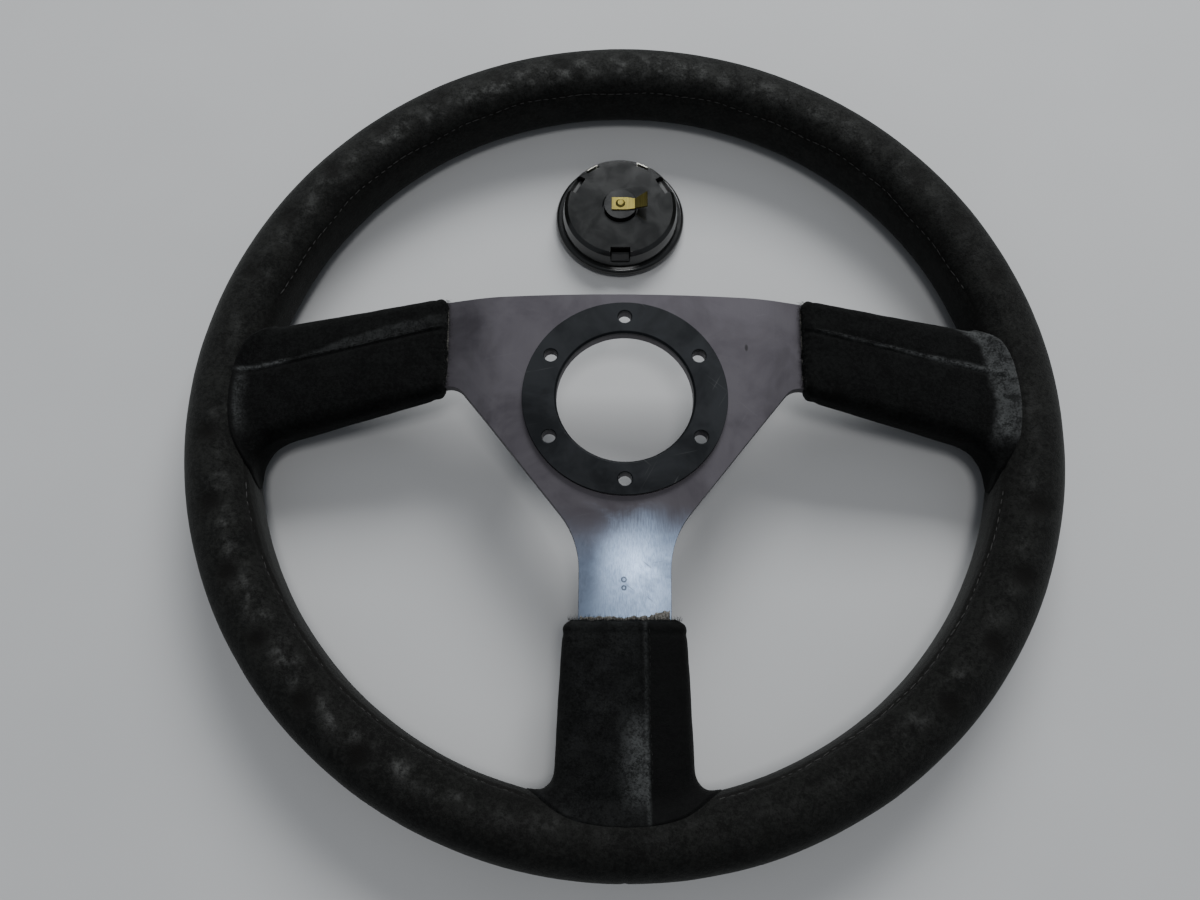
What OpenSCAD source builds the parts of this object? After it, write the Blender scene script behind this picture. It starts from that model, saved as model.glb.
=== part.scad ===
// Three-spoke bolt-on racing steering wheel with its horn button laid loose in the upper window.
// +Z points out of the rear of the wheel, +Y to twelve o'clock. Millimetres.
// The origin is the centre of the hub ring's rear face. The wheel lies on its driver's side.

/* [Rim] */
// Outer diameter of the rim
rim_d = 364.8; // [362:0.2:368]
// Radial width of the grip section
grip_w = 28; // [27:0.5:30]
// Height of the grip section along the wheel's axis
grip_h = 34; // [32:0.5:36]
// Distance from the hub's rear face down to the driver's side of the rim
wheel_depth = 39.4; // [37:0.2:42]
// Thickness of the suede
suede_t = 1.2; // [0.8:0.1:1.6]
// Outer diameter of the steel core tube
core_d = 16; // [14:0.5:16]
// Wall of the steel core tube
core_wall = 1.6; // [1:0.1:2]

/* [Hub] */
// Diameter of the centre bore
bore_d = 55.6; // [52:0.2:56]
// Outer diameter of the hub ring
ring_d = 83; // [82:0.5:84]
// Thickness of the hub ring
ring_t = 2; // [1.6:0.2:3]
// Pitch circle of the hub bolts
bolt_pcd = 70; // [69:0.5:71]
// Number of hub bolts
bolt_count = 6; // [6]
// Diameter of the hub bolt holes
bolt_hole_d = 5.5; // [5:0.1:6]

/* [Spoke plate] */
// Thickness of the spoke plate
plate_t = 4; // [3:0.5:4]
// Top edge of the plate above the hub centre
plate_top_y = 46.3; // [45:0.1:47]
// Radius of the long curve of the top edge
plate_top_r = 900; // [800:10:1200]
// Width of the lower spoke at its neck
neck_w = 35.6; // [34:0.2:38]

/* [Pads] */
// Half thickness of a pad at its hub end
pad_t_hub = 6.4; // [6:0.1:8]
// Half thickness of a pad where it meets the rim
pad_t_rim = 11; // [10:0.5:12]

/* [Horn button] */
// Place of the loose button across the wheel
button_x = -1.3; // [-8:0.1:8]
// Place of the loose button above the hub centre
button_y = 104; // [98:0.5:108]
// Outer diameter of the button's flange
flange_d = 60; // [59:0.5:62]
// How far the cap is pressed to sound the horn
push_travel = 1.5; // [1:0.1:1.6]

/* [Hidden] */
$fn = 96;

// Rim section: two half circles joined by a short straight, on a ring
ring_r = (rim_d - grip_w) / 2;
rim_mid_z = grip_h / 2 - wheel_depth;
rim_inner_r = ring_r - grip_w / 2;
side_arm_angle = 3.5;
seam_angle = 150;
thread_r = 0.4;
seam_clear = 21;
bottom_seam_clear = 15;

// Spoke plate: flat round the hub, then bent down to the middle of the rim
plate_rear_z = -ring_t;
plate_mid_z = plate_rear_z - plate_t / 2;
bend_r = 77;
side_bend_x = 50;
bottom_bend_y = 46;
arm_end = 150;
tongue_end = ring_r + core_d / 2 - 2.4;
tongue_w = 20;
side_tongue_y = 10;
diagonal_p = [35.7, -35.7];
diagonal_slope = 51.5;
arm_edge_p = [72.8, 5];
arm_droop = 10;
corner_r = 8;
neck_r = 35;
far = 200;

// The drop, and the bend angle that takes an arm from the hub's level to the rim's
arm_drop = plate_mid_z - rim_mid_z;
function bend_angle(start) =
    asin(bend_r / norm([ring_r - start, bend_r - arm_drop])) - atan2(bend_r - arm_drop, ring_r - start);
side_bend = bend_angle(side_bend_x);
bottom_bend = bend_angle(bottom_bend_y);

// Rivets that hold each arm's tongue in the core tube
rivet_r = 2;
rivet_head_r = 3.5;
rivet_head_t = 1.6;
rivet_pitch = 11;

// Pads: edges of the side pad and of the bottom pad as [hub end, rim end] points, seen along the arm
side_pad_upper = [[74, 45.2], [143, 36.6]];
side_pad_lower = [[73, 2.4], [143, -14.8]];
bottom_pad_upper = [[89, 23.4], [139, 25.8]];
bottom_pad_lower = [[89, -23.4], [139, -25.8]];
side_fillets = [3, 17];
bottom_fillets = [11, 11];
pad_corner_r = 4;
pad_side_start = 2;
sheet_start_x = 68;
lap_w = 1.6;
lap_t = 0.5;

// Horn button, heights above its cap's face
cap_r = 25.3;
cap_t = 2.2;
skirt_r = 25;
skirt_wall = 1.6;
skirt_top = 6;
bezel_bore_r = 25.8;
bezel_top = 5.2;
housing_top = 13.5;
housing_floor = 11.5;
housing_back_r = 24.2;
boss_hole_r = 8.4;
boss_r = 7.5;
boss_top = 15.3;
terminal_t = 0.6;
terminal_shank_r = 1.4;
hook_angles = [30, 150, 270];
hook_w = 8;
hook_top = 10.8;
window_w = 9;
window_floor = 8.6;
leaf_angles = [65, 123];
leaf_spread = 13;
leaf_foot = 7;
leaf_tip = 14;
disc_bottom = 4.4;
disc_top = 5.2;
contact_gap = 0.1;
rivet_foot_t = 0.8;
boss_foot = disc_top + push_travel + contact_gap + rivet_foot_t;
ground_ring_t = 0.6;
ground_ring_r = 20;
post_r = 3;
spring_r = 11.8;
spring_wire_r = 0.5;
spring_turns = 3;
spring_sides = 8;
spring_steps = 24;

// --- helpers ---

function unit(v) = v / norm(v);
function polar(r, a) = r * [cos(a), sin(a)];
function arc(c, r, from, to, steps) = [for (i = [0:steps]) c + polar(r, from + (to - from) * i / steps)];
function angle_of(v) = atan2(v.y, v.x);
function short_turn(a) = a > 180 ? a - 360 : a < -180 ? a + 360 : a;

// Arc that rounds the corner q between the neighbours p and s
function corner(p, q, s, r, steps = 8) =
    let (u = unit(p - q), w = unit(s - q), half = acos(u * w) / 2)
    let (c = q + unit(u + w) * r / sin(half), from = angle_of(q + u * r / tan(half) - c))
    let (turn = short_turn(angle_of(q + w * r / tan(half) - c) - from))
    arc(c, r, from, from + turn, steps);

// Arc that blends a pad's edge, from p along d, into the rim's inner circle; side is 1 above the pad and -1 below
function rim_blend(p, d, side, r, inner, steps = 8) =
    let (n = side * [-d.y, d.x], base = p + n * r, reach = inner - r, along = base * d)
    let (c = base + d * (sqrt(along * along - base * base + reach * reach) - along))
    let (from = angle_of(-n), turn = short_turn(angle_of(c) - from))
    arc(c, r, from, from + turn, steps);

// Height of an arm's middle at a distance from the wheel's axis
function arm_z(x, bend) = rim_mid_z + (ring_r - x) * tan(bend);

// Stands a side profile, drawn in the plane of an arm and the wheel's axis, across that arm
module across(from, to) {
    translate([0, to, 0]) rotate([90, 0, 0]) linear_extrude(to - from) children();
}

// The three arms, each drawn along +X
module on_left() { mirror([1, 0, 0]) children(); }
module on_bottom() { rotate([0, 0, -90]) children(); }

module bolt_circle() {
    for (i = [0:bolt_count - 1])
        rotate([0, 0, 90 + i * 360 / bolt_count]) translate([bolt_pcd / 2, 0, 0]) children();
}

// --- spoke plate ---

function plate_half() =
    let (top_c = [0, plate_top_y - plate_top_r], tip = acos(arm_end / plate_top_r))
    let (droop = tan(arm_droop), slope = tan(diagonal_slope))
    let (arm_low = [arm_end, arm_edge_p.y - (arm_end - arm_edge_p.x) * droop])
    let (meet_x = (arm_edge_p.y + arm_edge_p.x * droop - diagonal_p.y + diagonal_p.x * slope) / (slope + droop))
    let (meet = [meet_x, diagonal_p.y + (meet_x - diagonal_p.x) * slope])
    let (neck = [neck_w / 2, diagonal_p.y + (neck_w / 2 - diagonal_p.x) * slope], foot = [neck_w / 2, -arm_end])
    concat(
        arc(top_c, plate_top_r, 90, tip, 12),
        [
            [arm_end, side_tongue_y + tongue_w / 2],
            [tongue_end, side_tongue_y + tongue_w / 2],
            [tongue_end, side_tongue_y - tongue_w / 2],
            [arm_end, side_tongue_y - tongue_w / 2],
            arm_low
        ],
        corner(arm_low, meet, neck, corner_r),
        corner(meet, neck, foot, neck_r),
        [foot, [tongue_w / 2, -arm_end], [tongue_w / 2, -tongue_end]]
    );

module plate_outline() {
    half = plate_half();
    polygon(concat(half, [for (i = [len(half) - 1:-1:1]) [-half[i].x, half[i].y]]));
}

// Side profile of the sheet along one arm: flat, an arc, then straight down the slope
module sheet_profile(start, bend) {
    c = [start, plate_mid_z - bend_r];
    outer = bend_r + plate_t / 2;
    inner = bend_r - plate_t / 2;
    down = [cos(bend), -sin(bend)];
    end_outer = c + polar(outer, 90 - bend) + down * far;
    end_inner = c + polar(inner, 90 - bend) + down * far;
    polygon(concat(
        [[-1, plate_rear_z]], arc(c, outer, 90, 90 - bend, 6), [end_outer, end_inner],
        arc(c, inner, 90 - bend, 90, 6), [[-1, plate_rear_z - plate_t]]
    ));
}

module sheet() {
    across(-bottom_bend_y, far) sheet_profile(side_bend_x, side_bend);
    on_left() across(-bottom_bend_y, far) sheet_profile(side_bend_x, side_bend);
    on_bottom() across(-side_bend_x, side_bend_x) sheet_profile(bottom_bend_y, bottom_bend);
}

module spoke_plate() {
    color("#4d474e") difference() {
        intersection() {
            translate([0, 0, -wheel_depth]) linear_extrude(wheel_depth) plate_outline();
            sheet();
        }
        translate([0, 0, -wheel_depth]) cylinder(d = bore_d, h = wheel_depth);
        bolt_circle() translate([0, 0, -wheel_depth]) cylinder(d = bolt_hole_d, h = wheel_depth, $fn = 32);
        arm_rivets();
    }
}

module hub_ring() {
    lip = 0.8;
    chamfer = 0.3;
    color("#1c2025") difference() {
        translate([0, 0, -ring_t]) cylinder(d = ring_d, h = ring_t);
        translate([0, 0, -ring_t - 1]) cylinder(d = bore_d, h = ring_t + 2);
        translate([0, 0, -lip]) cylinder(d1 = bore_d, d2 = bore_d + 2 * lip, h = lip);
        bolt_circle() {
            translate([0, 0, -ring_t - 1]) cylinder(d = bolt_hole_d, h = ring_t + 2, $fn = 32);
            translate([0, 0, -chamfer])
                cylinder(d1 = bolt_hole_d, d2 = bolt_hole_d + 2 * chamfer, h = chamfer, $fn = 32);
        }
    }
}

// --- rim ---

// The grip section, smaller all round by inset
module grip_section(inset = 0) {
    r = grip_w / 2 - inset;
    straight = (grip_h - grip_w) / 2;
    translate([ring_r, rim_mid_z]) {
        translate([0, straight]) circle(r);
        translate([0, -straight]) circle(r);
        translate([-r, -straight]) square([2 * r, 2 * straight]);
    }
}

// One arm's tongue, where it enters the rim
module tongue(bend, mid_y) {
    half = plate_t / 2 / cos(bend);
    across(mid_y - tongue_w / 2, mid_y + tongue_w / 2) polygon([
        [arm_end, arm_z(arm_end, bend) - half],
        [tongue_end, arm_z(tongue_end, bend) - half],
        [tongue_end, arm_z(tongue_end, bend) + half],
        [arm_end, arm_z(arm_end, bend) + half]
    ]);
}

module tongues() {
    tongue(side_bend, side_tongue_y);
    on_left() tongue(side_bend, side_tongue_y);
    on_bottom() tongue(bottom_bend, 0);
}

// A rivet across the core tube, square to the tongue it holds
module rivet() {
    half = core_d / 2;
    translate([0, 0, -half]) cylinder(r = rivet_r, h = core_d, $fn = 32);
    translate([0, 0, half]) cylinder(r1 = rivet_head_r, r2 = rivet_r, h = rivet_head_t, $fn = 32);
    translate([0, 0, -half - rivet_head_t])
        cylinder(r1 = rivet_r, r2 = rivet_head_r, h = rivet_head_t, $fn = 32);
}

module rivet_pair(bend, mid_y) {
    for (s = [-1, 1]) {
        y = mid_y + s * rivet_pitch / 2;
        x = sqrt(ring_r * ring_r - y * y);
        translate([x, y, rim_mid_z]) rotate([0, bend, 0]) rivet();
    }
}

module arm_rivets() {
    rivet_pair(side_bend, side_tongue_y);
    on_left() rivet_pair(side_bend, side_tongue_y);
    on_bottom() rivet_pair(bottom_bend, 0);
}

module spoke_rivets() {
    color("silver") arm_rivets();
}

module rim_core() {
    color("#8d9096") difference() {
        rotate_extrude() translate([ring_r, rim_mid_z]) difference() {
            circle(d = core_d);
            circle(d = core_d - 2 * core_wall);
        }
        tongues();
        arm_rivets();
    }
}

module rim_foam() {
    color("#2b2b2b") difference() {
        rotate_extrude() difference() {
            grip_section(suede_t);
            translate([ring_r, rim_mid_z]) circle(d = core_d);
        }
        tongues();
        arm_rivets();
    }
}

// The suede from one spoke to the next
module rim_cover(from, to) {
    color("#1d1c1b") difference() {
        rotate([0, 0, from]) rotate_extrude(angle = to - from) difference() {
            grip_section();
            grip_section(suede_t);
        }
        tongues();
    }
}

module rim_cover_top() { rim_cover(side_arm_angle, 180 - side_arm_angle); }
module rim_cover_left() { rim_cover(180 - side_arm_angle, 270); }
module rim_cover_right() { rim_cover(-90, side_arm_angle); }

// The thread along the seam on the rim's inner side, just touching the suede
module seam_thread(from, to) {
    straight = (grip_h - grip_w) / 2;
    at = [ring_r, rim_mid_z + straight] + polar(grip_w / 2 + thread_r, seam_angle);
    rotate([0, 0, from]) rotate_extrude(angle = to - from) translate(at) circle(thread_r, $fn = 16);
}

module rim_stitching() {
    color("#3a3734") {
        seam_thread(side_arm_angle + seam_clear - 6, 180 - side_arm_angle - seam_clear + 6);
        seam_thread(180 - side_arm_angle + seam_clear, 270 - bottom_seam_clear);
        seam_thread(-90 + bottom_seam_clear, side_arm_angle - seam_clear);
    }
}

// --- pads ---

// Plan of a pad, smaller all round by inset; it runs on into the rim, which is cut from it later
module pad_plan(upper, lower, fillets, inset) {
    up = unit(upper[1] - upper[0]);
    low = unit(lower[1] - lower[0]);
    end = unit(lower[0] - upper[0]);
    ends = unit([-end.y, end.x]);
    a = upper[0] + (ends + [up.y, -up.x]) * inset;
    b = lower[0] + (ends + [-low.y, low.x]) * inset;
    inner = rim_inner_r - inset;
    top_arc = rim_blend(a, up, 1, fillets[0] + inset, inner);
    low_arc = rim_blend(b, low, -1, fillets[1] + inset, inner);
    top_end = unit(top_arc[len(top_arc) - 1]) * ring_r;
    low_end = unit(low_arc[len(low_arc) - 1]) * ring_r;
    polygon(concat(
        top_arc, [top_end, low_end], [for (i = [len(low_arc) - 1:-1:0]) low_arc[i]],
        corner(low_arc[0], b, a, pad_corner_r), corner(b, a, top_arc[0], pad_corner_r)
    ));
}

// Where the side view of a pad starts, a little short of its plan
function pad_start(lower) = lower[0].x - pad_side_start;

// Half thickness of a pad along the arm
function pad_half(x, start) = pad_t_hub + (pad_t_rim - pad_t_hub) * (x - start) / (ring_r - start);

// Side view of a pad, smaller all round by inset
module pad_side(start, bend, inset) {
    near = pad_half(start, start) - inset;
    rim = pad_half(ring_r, start) - inset;
    polygon([
        [start, arm_z(start, bend) + near], [ring_r, rim_mid_z + rim],
        [ring_r, rim_mid_z - rim], [start, arm_z(start, bend) - near]
    ]);
}

module pad_block(upper, lower, fillets, bend, inset) {
    intersection() {
        translate([0, 0, -wheel_depth]) linear_extrude(wheel_depth + 20) pad_plan(upper, lower, fillets, inset);
        across(-far / 2, far / 2) pad_side(pad_start(lower), bend, inset);
    }
}

module whole_rim() {
    rotate_extrude() grip_section();
}

// Straight part of an arm as the pad sees it: the plate with nothing left between
module arm_sheet(bend) {
    half = plate_t / 2 / cos(bend);
    across(-far / 2, far / 2) polygon([
        [sheet_start_x, arm_z(sheet_start_x, bend) - half],
        [ring_r, rim_mid_z - half],
        [ring_r, rim_mid_z + half],
        [sheet_start_x, arm_z(sheet_start_x, bend) + half]
    ]);
}

// The arm's own outline and sheet together
module arm_core(bend) {
    intersection() {
        translate([0, 0, -wheel_depth]) linear_extrude(wheel_depth) children();
        arm_sheet(bend);
    }
}

module pad_foam(upper, lower, fillets, bend) {
    color("#2b2b2b") difference() {
        pad_block(upper, lower, fillets, bend, suede_t);
        whole_rim();
        arm_core(bend) children();
    }
}

module pad_cover(upper, lower, fillets, bend) {
    color("#161514") difference() {
        pad_block(upper, lower, fillets, bend, 0);
        pad_block(upper, lower, fillets, bend, suede_t);
        whole_rim();
        arm_core(bend) children();
    }
}

module side_foam() { pad_foam(side_pad_upper, side_pad_lower, side_fillets, side_bend) plate_outline(); }
module side_cover() { pad_cover(side_pad_upper, side_pad_lower, side_fillets, side_bend) plate_outline(); }

module pad_foam_right() { side_foam(); }
module pad_foam_left() { on_left() side_foam(); }
module pad_foam_bottom() {
    on_bottom() pad_foam(bottom_pad_upper, bottom_pad_lower, bottom_fillets, bottom_bend)
        rotate([0, 0, 90]) plate_outline();
}
module pad_cover_right() { side_cover(); }
module pad_cover_left() { on_left() side_cover(); }
module pad_cover_bottom() {
    on_bottom() pad_cover(bottom_pad_upper, bottom_pad_lower, bottom_fillets, bottom_bend)
        rotate([0, 0, 90]) plate_outline();
}

// The lapped seam along the rear of a pad, laid on the suede
module lap_seam(hub_x, rim_x, y_hub, y_rim, start, bend) {
    hub_top = arm_z(hub_x, bend) + pad_half(hub_x, start);
    rim_top = arm_z(rim_x, bend) + pad_half(rim_x, start);
    intersection() {
        across(-far / 2, far / 2) polygon([
            [hub_x, hub_top], [rim_x, rim_top], [rim_x, rim_top + lap_t], [hub_x, hub_top + lap_t]
        ]);
        translate([0, 0, -wheel_depth]) linear_extrude(wheel_depth + 20) polygon([
            [hub_x, y_hub], [rim_x, y_rim], [rim_x, y_rim + lap_w], [hub_x, y_hub + lap_w]
        ]);
    }
}

module pad_stitching() {
    color("#55524c") {
        lap_seam(79, 146, 29, 16, pad_start(side_pad_lower), side_bend);
        on_left() lap_seam(79, 146, 29, 16, pad_start(side_pad_lower), side_bend);
        on_bottom() lap_seam(92, 142, 8, 8, pad_start(bottom_pad_lower), bottom_bend);
    }
}

// --- horn button ---

// Puts a part of the button, drawn upwards from its cap's face, in its place
module in_button() {
    translate([button_x, button_y, -wheel_depth]) children();
}

// Outer wall of the housing at a height
function housing_wall() = [[27.3, bezel_top], [26.9, 8.2], [25.9, 11.9], [housing_back_r, housing_top]];

// One leaf: a foot on the ground ring's edge, an arm down the housing's side and a tip up past its back
module leaf_section(thick) {
    wall = housing_wall();
    foot_z = housing_floor - ground_ring_t;
    polygon([
        [ground_ring_r, foot_z], [wall[2].x - thick, foot_z], [wall[1].x - thick, leaf_foot], [wall[1].x, leaf_foot],
        [wall[2].x, wall[2].y], [wall[3].x + 0.1, leaf_tip], [wall[3].x + 0.1 - thick, leaf_tip],
        [wall[2].x - 2 * thick, foot_z + thick], [ground_ring_r, foot_z + thick]
    ]);
}

module at_leaves(spread) {
    for (a = leaf_angles) rotate([0, 0, a - spread / 2]) rotate_extrude(angle = spread) children();
}

module horn_housing() {
    wall = housing_wall();
    color("#101214") in_button() difference() {
        rotate_extrude() polygon(concat(
            [[boss_hole_r, housing_floor], [24.7, housing_floor], [bezel_bore_r, bezel_top]], wall,
            [[boss_hole_r, housing_top]]
        ));
        for (a = hook_angles)
            rotate([0, 0, a]) translate([21.3, -window_w / 2, window_floor]) cube([8, window_w, 8]);
        at_leaves(leaf_spread + 3) polygon([[23.4, 6.6], [30, 6.6], [30, 16], [23, 16], [23, 12.4]]);
    }
}

module horn_bezel() {
    outer = flange_d / 2;
    color("#0c0d10") in_button() rotate_extrude() polygon([
        [bezel_bore_r, 1.4], [outer - 1.6, 1], [outer - 0.5, 1.6], [outer, 2.6],
        [outer, 3.6], [outer - 0.5, 4.6], [outer - 1.4, bezel_top], [bezel_bore_r, bezel_top]
    ]);
}

module cap_hook() {
    barb_out = 26;
    translate([22.4, -hook_w / 2, skirt_top]) cube([1.5, hook_w, hook_top - skirt_top]);
    translate([0, hook_w / 2, 0]) rotate([90, 0, 0]) linear_extrude(hook_w) polygon([
        [23.9, window_floor + 0.3], [barb_out, window_floor + 0.3],
        [barb_out, window_floor + 0.8], [23.9, hook_top]
    ]);
    translate([22.4, -hook_w / 2, skirt_top - 1]) cube([1.5, hook_w, 1]);
}

module horn_cap() {
    edge = 0.6;
    color("#131416") in_button() {
        difference() {
            rotate_extrude() polygon([
                [0, 0], [cap_r - edge, 0], [cap_r, edge], [cap_r, cap_t], [skirt_r, cap_t],
                [skirt_r, skirt_top], [skirt_r - skirt_wall, skirt_top], [skirt_r - skirt_wall, cap_t],
                [post_r, cap_t], [post_r, disc_bottom], [0, disc_bottom]
            ]);
            translate([0, 0, -1]) cylinder(r = 20, h = 1.5);
        }
        for (a = hook_angles) rotate([0, 0, a]) cap_hook();
    }
}

module cap_badge() {
    color("#2a2b2e") in_button() translate([0, 0, 0.1]) cylinder(r = 19.8, h = 0.4);
}

module contact_disc() {
    color("#b08d3c") in_button() translate([0, 0, disc_bottom]) cylinder(r = 16, h = disc_top - disc_bottom);
}

// Closed ring of points round one place on the spring's helix
function coil_ring(a, z) = [for (k = [0:spring_sides - 1])
    let (p = polar(spring_wire_r, k * 360 / spring_sides))
    [(spring_r + p.x) * cos(a), (spring_r + p.x) * sin(a), z + p.y]];

module return_spring() {
    low = disc_top + spring_wire_r;
    high = housing_floor - ground_ring_t - spring_wire_r;
    count = spring_turns * spring_steps;
    points = [for (i = [0:count]) each coil_ring(i * 360 / spring_steps, low + (high - low) * i / count)];
    last = count * spring_sides;
    sides = [for (i = [0:count - 1], k = [0:spring_sides - 1])
        let (m = (k + 1) % spring_sides, base = i * spring_sides)
        [base + k, base + m, base + spring_sides + m, base + spring_sides + k]];
    ends = [[for (k = [spring_sides - 1:-1:0]) k], [for (k = [0:spring_sides - 1]) last + k]];
    color("silver") in_button() polyhedron(points, concat(sides, ends), convexity = 6);
}

module ground_ring() {
    color("#c9a24a") in_button() translate([0, 0, housing_floor - ground_ring_t]) difference() {
        cylinder(r = ground_ring_r, h = ground_ring_t);
        translate([0, 0, -1]) cylinder(r = 8.9, h = 3);
    }
}

module bore_springs() {
    color("#b9b39a") in_button() at_leaves(leaf_spread) leaf_section(0.4);
}

module terminal_boss() {
    flange_t = 1.3;
    color("#17181b") in_button() difference() {
        union() {
            translate([0, 0, boss_foot]) cylinder(r = boss_r, h = boss_top - boss_foot);
            translate([0, 0, housing_floor - ground_ring_t - flange_t]) cylinder(r = 9.6, h = flange_t);
        }
        translate([0, 0, boss_foot - 1]) cylinder(r = terminal_shank_r, h = boss_top, $fn = 32);
    }
}

// Brass tab: flat on the boss, then bent up and flared
module horn_terminal() {
    bend_x = 6.8;
    tip_x = 12.3;
    rise = 4;
    color("#b3903a") in_button() difference() {
        intersection() {
            across(-10, 10) polygon([
                [-4, boss_top], [bend_x, boss_top], [tip_x, boss_top + rise],
                [tip_x - 0.5, boss_top + rise + terminal_t],
                [bend_x - 0.3, boss_top + terminal_t], [-4, boss_top + terminal_t]
            ]);
            linear_extrude(30) polygon([
                [-4, -3.15], [3, -3.15], [bend_x, -2.5], [tip_x, -3.9],
                [tip_x, 3.9], [bend_x, 2.5], [3, 3.15], [-4, 3.15]
            ]);
        }
        cylinder(r = terminal_shank_r, h = 30, $fn = 32);
    }
}

module terminal_rivet() {
    head_t = 0.8;
    color("#c7a64e") in_button() {
        translate([0, 0, boss_foot]) cylinder(r = terminal_shank_r, h = boss_top + terminal_t - boss_foot, $fn = 32);
        translate([0, 0, boss_foot - rivet_foot_t]) cylinder(r = 2.6, h = rivet_foot_t, $fn = 32);
        translate([0, 0, boss_top + terminal_t]) cylinder(r1 = 2.2, r2 = 1.3, h = head_t, $fn = 32);
    }
}

spoke_plate();
hub_ring();
rim_core();
rim_foam();
spoke_rivets();
rim_cover_top();
rim_cover_left();
rim_cover_right();
rim_stitching();
pad_foam_left();
pad_foam_right();
pad_foam_bottom();
pad_cover_left();
pad_cover_right();
pad_cover_bottom();
pad_stitching();
horn_housing();
horn_bezel();
horn_cap();
cap_badge();
contact_disc();
return_spring();
ground_ring();
bore_springs();
terminal_boss();
horn_terminal();
terminal_rivet();
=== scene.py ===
"""Looks of a three-spoke suede steering wheel lying face down, with its loose horn button."""
import math
from collections import namedtuple

import bmesh
import bpy
import numpy as np
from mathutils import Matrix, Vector, noise


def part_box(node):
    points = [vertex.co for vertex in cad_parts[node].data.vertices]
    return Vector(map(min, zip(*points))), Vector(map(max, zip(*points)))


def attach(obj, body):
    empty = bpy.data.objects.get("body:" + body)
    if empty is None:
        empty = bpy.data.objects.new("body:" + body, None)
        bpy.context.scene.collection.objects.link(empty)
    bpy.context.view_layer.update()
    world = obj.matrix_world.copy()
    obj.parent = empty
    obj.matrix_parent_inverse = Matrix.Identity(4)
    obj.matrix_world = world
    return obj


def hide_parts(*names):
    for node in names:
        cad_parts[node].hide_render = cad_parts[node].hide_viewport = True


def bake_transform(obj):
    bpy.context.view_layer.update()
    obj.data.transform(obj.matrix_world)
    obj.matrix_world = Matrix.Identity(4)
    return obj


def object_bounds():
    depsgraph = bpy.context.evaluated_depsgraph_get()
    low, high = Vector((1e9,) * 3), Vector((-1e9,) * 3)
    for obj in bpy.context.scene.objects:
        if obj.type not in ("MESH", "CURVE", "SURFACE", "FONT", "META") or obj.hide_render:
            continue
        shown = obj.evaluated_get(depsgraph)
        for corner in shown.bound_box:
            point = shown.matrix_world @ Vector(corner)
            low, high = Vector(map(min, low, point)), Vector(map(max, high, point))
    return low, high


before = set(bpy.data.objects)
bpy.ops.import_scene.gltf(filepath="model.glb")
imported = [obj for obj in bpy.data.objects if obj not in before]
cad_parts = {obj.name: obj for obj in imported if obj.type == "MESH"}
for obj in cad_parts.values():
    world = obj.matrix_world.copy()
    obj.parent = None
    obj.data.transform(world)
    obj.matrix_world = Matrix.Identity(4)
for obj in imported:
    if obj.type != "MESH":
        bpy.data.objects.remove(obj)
CAD_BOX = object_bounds()

MM = 0.001

# ---- sizes

# Rim: an upright oval section on a ring, all but its width read from the frame
GRIP_R = 14 * MM
SUEDE_T = 1.2 * MM
RIM_LOW, RIM_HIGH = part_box("rim_cover_top")
RING_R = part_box("rim_cover_right")[1].x - GRIP_R
RIM_MID_Z = (RIM_LOW.z + RIM_HIGH.z) / 2
STRAIGHT = (RIM_HIGH.z - RIM_LOW.z) / 2 - GRIP_R
FLOOR_Z, FLOOR_HALF = CAD_BOX[0].z, 8.0
SIDE_ARM_ANGLE = 3.5
SEAM_ANGLE = 150

# Spoke plate: how the arms drop from the hub to the rim
PLATE_T = 4 * MM
PLATE_MID_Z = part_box("hub_ring")[0].z - PLATE_T / 2
BEND_R = 77 * MM

# Pads, seen along their own arm: the arm runs along +X and its left side is +Y
PAD_T_HUB = 6.4 * MM
PAD_T_RIM = 11 * MM
PAD_SIDE_START = 2 * MM
PAD_CROWN, PAD_ROUND = 0.07, 0.72
FACE_FILLET = 5 * MM
Pad = namedtuple("Pad", "upper lower fillets bend_from lap glue")
Glue = namedtuple("Glue", "width span heap")
SIDE_PAD = Pad(upper=((74, 45.2), (143, 36.6)), lower=((73, 2.4), (143, -14.8)), fillets=(4, 17),
               bend_from=50, lap=((79, 29.4), (146, 16)), glue=Glue(0.5, (9, 41), 0))
BOTTOM_PAD = Pad(upper=((89, 23.4), (139, 25.8)), lower=((89, -23.4), (139, -25.8)), fillets=(11, 11),
                 bend_from=46, lap=((90, 8), (150, 9)), glue=Glue(2.0, (-17.2, 17.2), 2.6))
RAY_BACK, RAY_REACH, RAY_STEPS, RAY_HALVINGS = 12 * MM, 60 * MM, 60, 18
SEWN_REACH = 68
PAD_COLS, CORE_COLS = 220, 64
# Cloth: its rows, every how many columns it has one, its steps, its pressure and how far it may swell
CLOTH_ROWS, CLOTH_EVERY, CLOTH_FRAMES, CLOTH_PRESSURE, CLOTH_CAP = 40, 4, 16, 5, 0.9 * MM


def bend_angle(start):
    """Angle by which an arm that starts to bend at start meets the middle of the rim."""
    run = RING_R - start
    rise = BEND_R - (PLATE_MID_Z - RIM_MID_Z)
    return math.asin(BEND_R / math.hypot(run, rise)) - math.atan2(rise, run)


# ---- small tools


def smooth(low, high, x):
    """0 below low, 1 above high, and a soft S between."""
    t = np.clip((x - low) / (high - low), 0, 1)
    return t * t * (3 - 2 * t)


def bump_at(x, centre, width):
    """A soft hill of height 1 round centre."""
    return np.exp(-(((x - centre) / width) ** 2))


def noise_at(points, scale, seed=0):
    """Soft noise from -1 to 1 at each point, with features about that many millimetres long."""
    shift = Vector((seed * 7.3, seed * 3.1, seed * 5.7))
    return np.array([noise.noise(Vector(p) / (scale * MM) + shift) for p in points])


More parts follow.
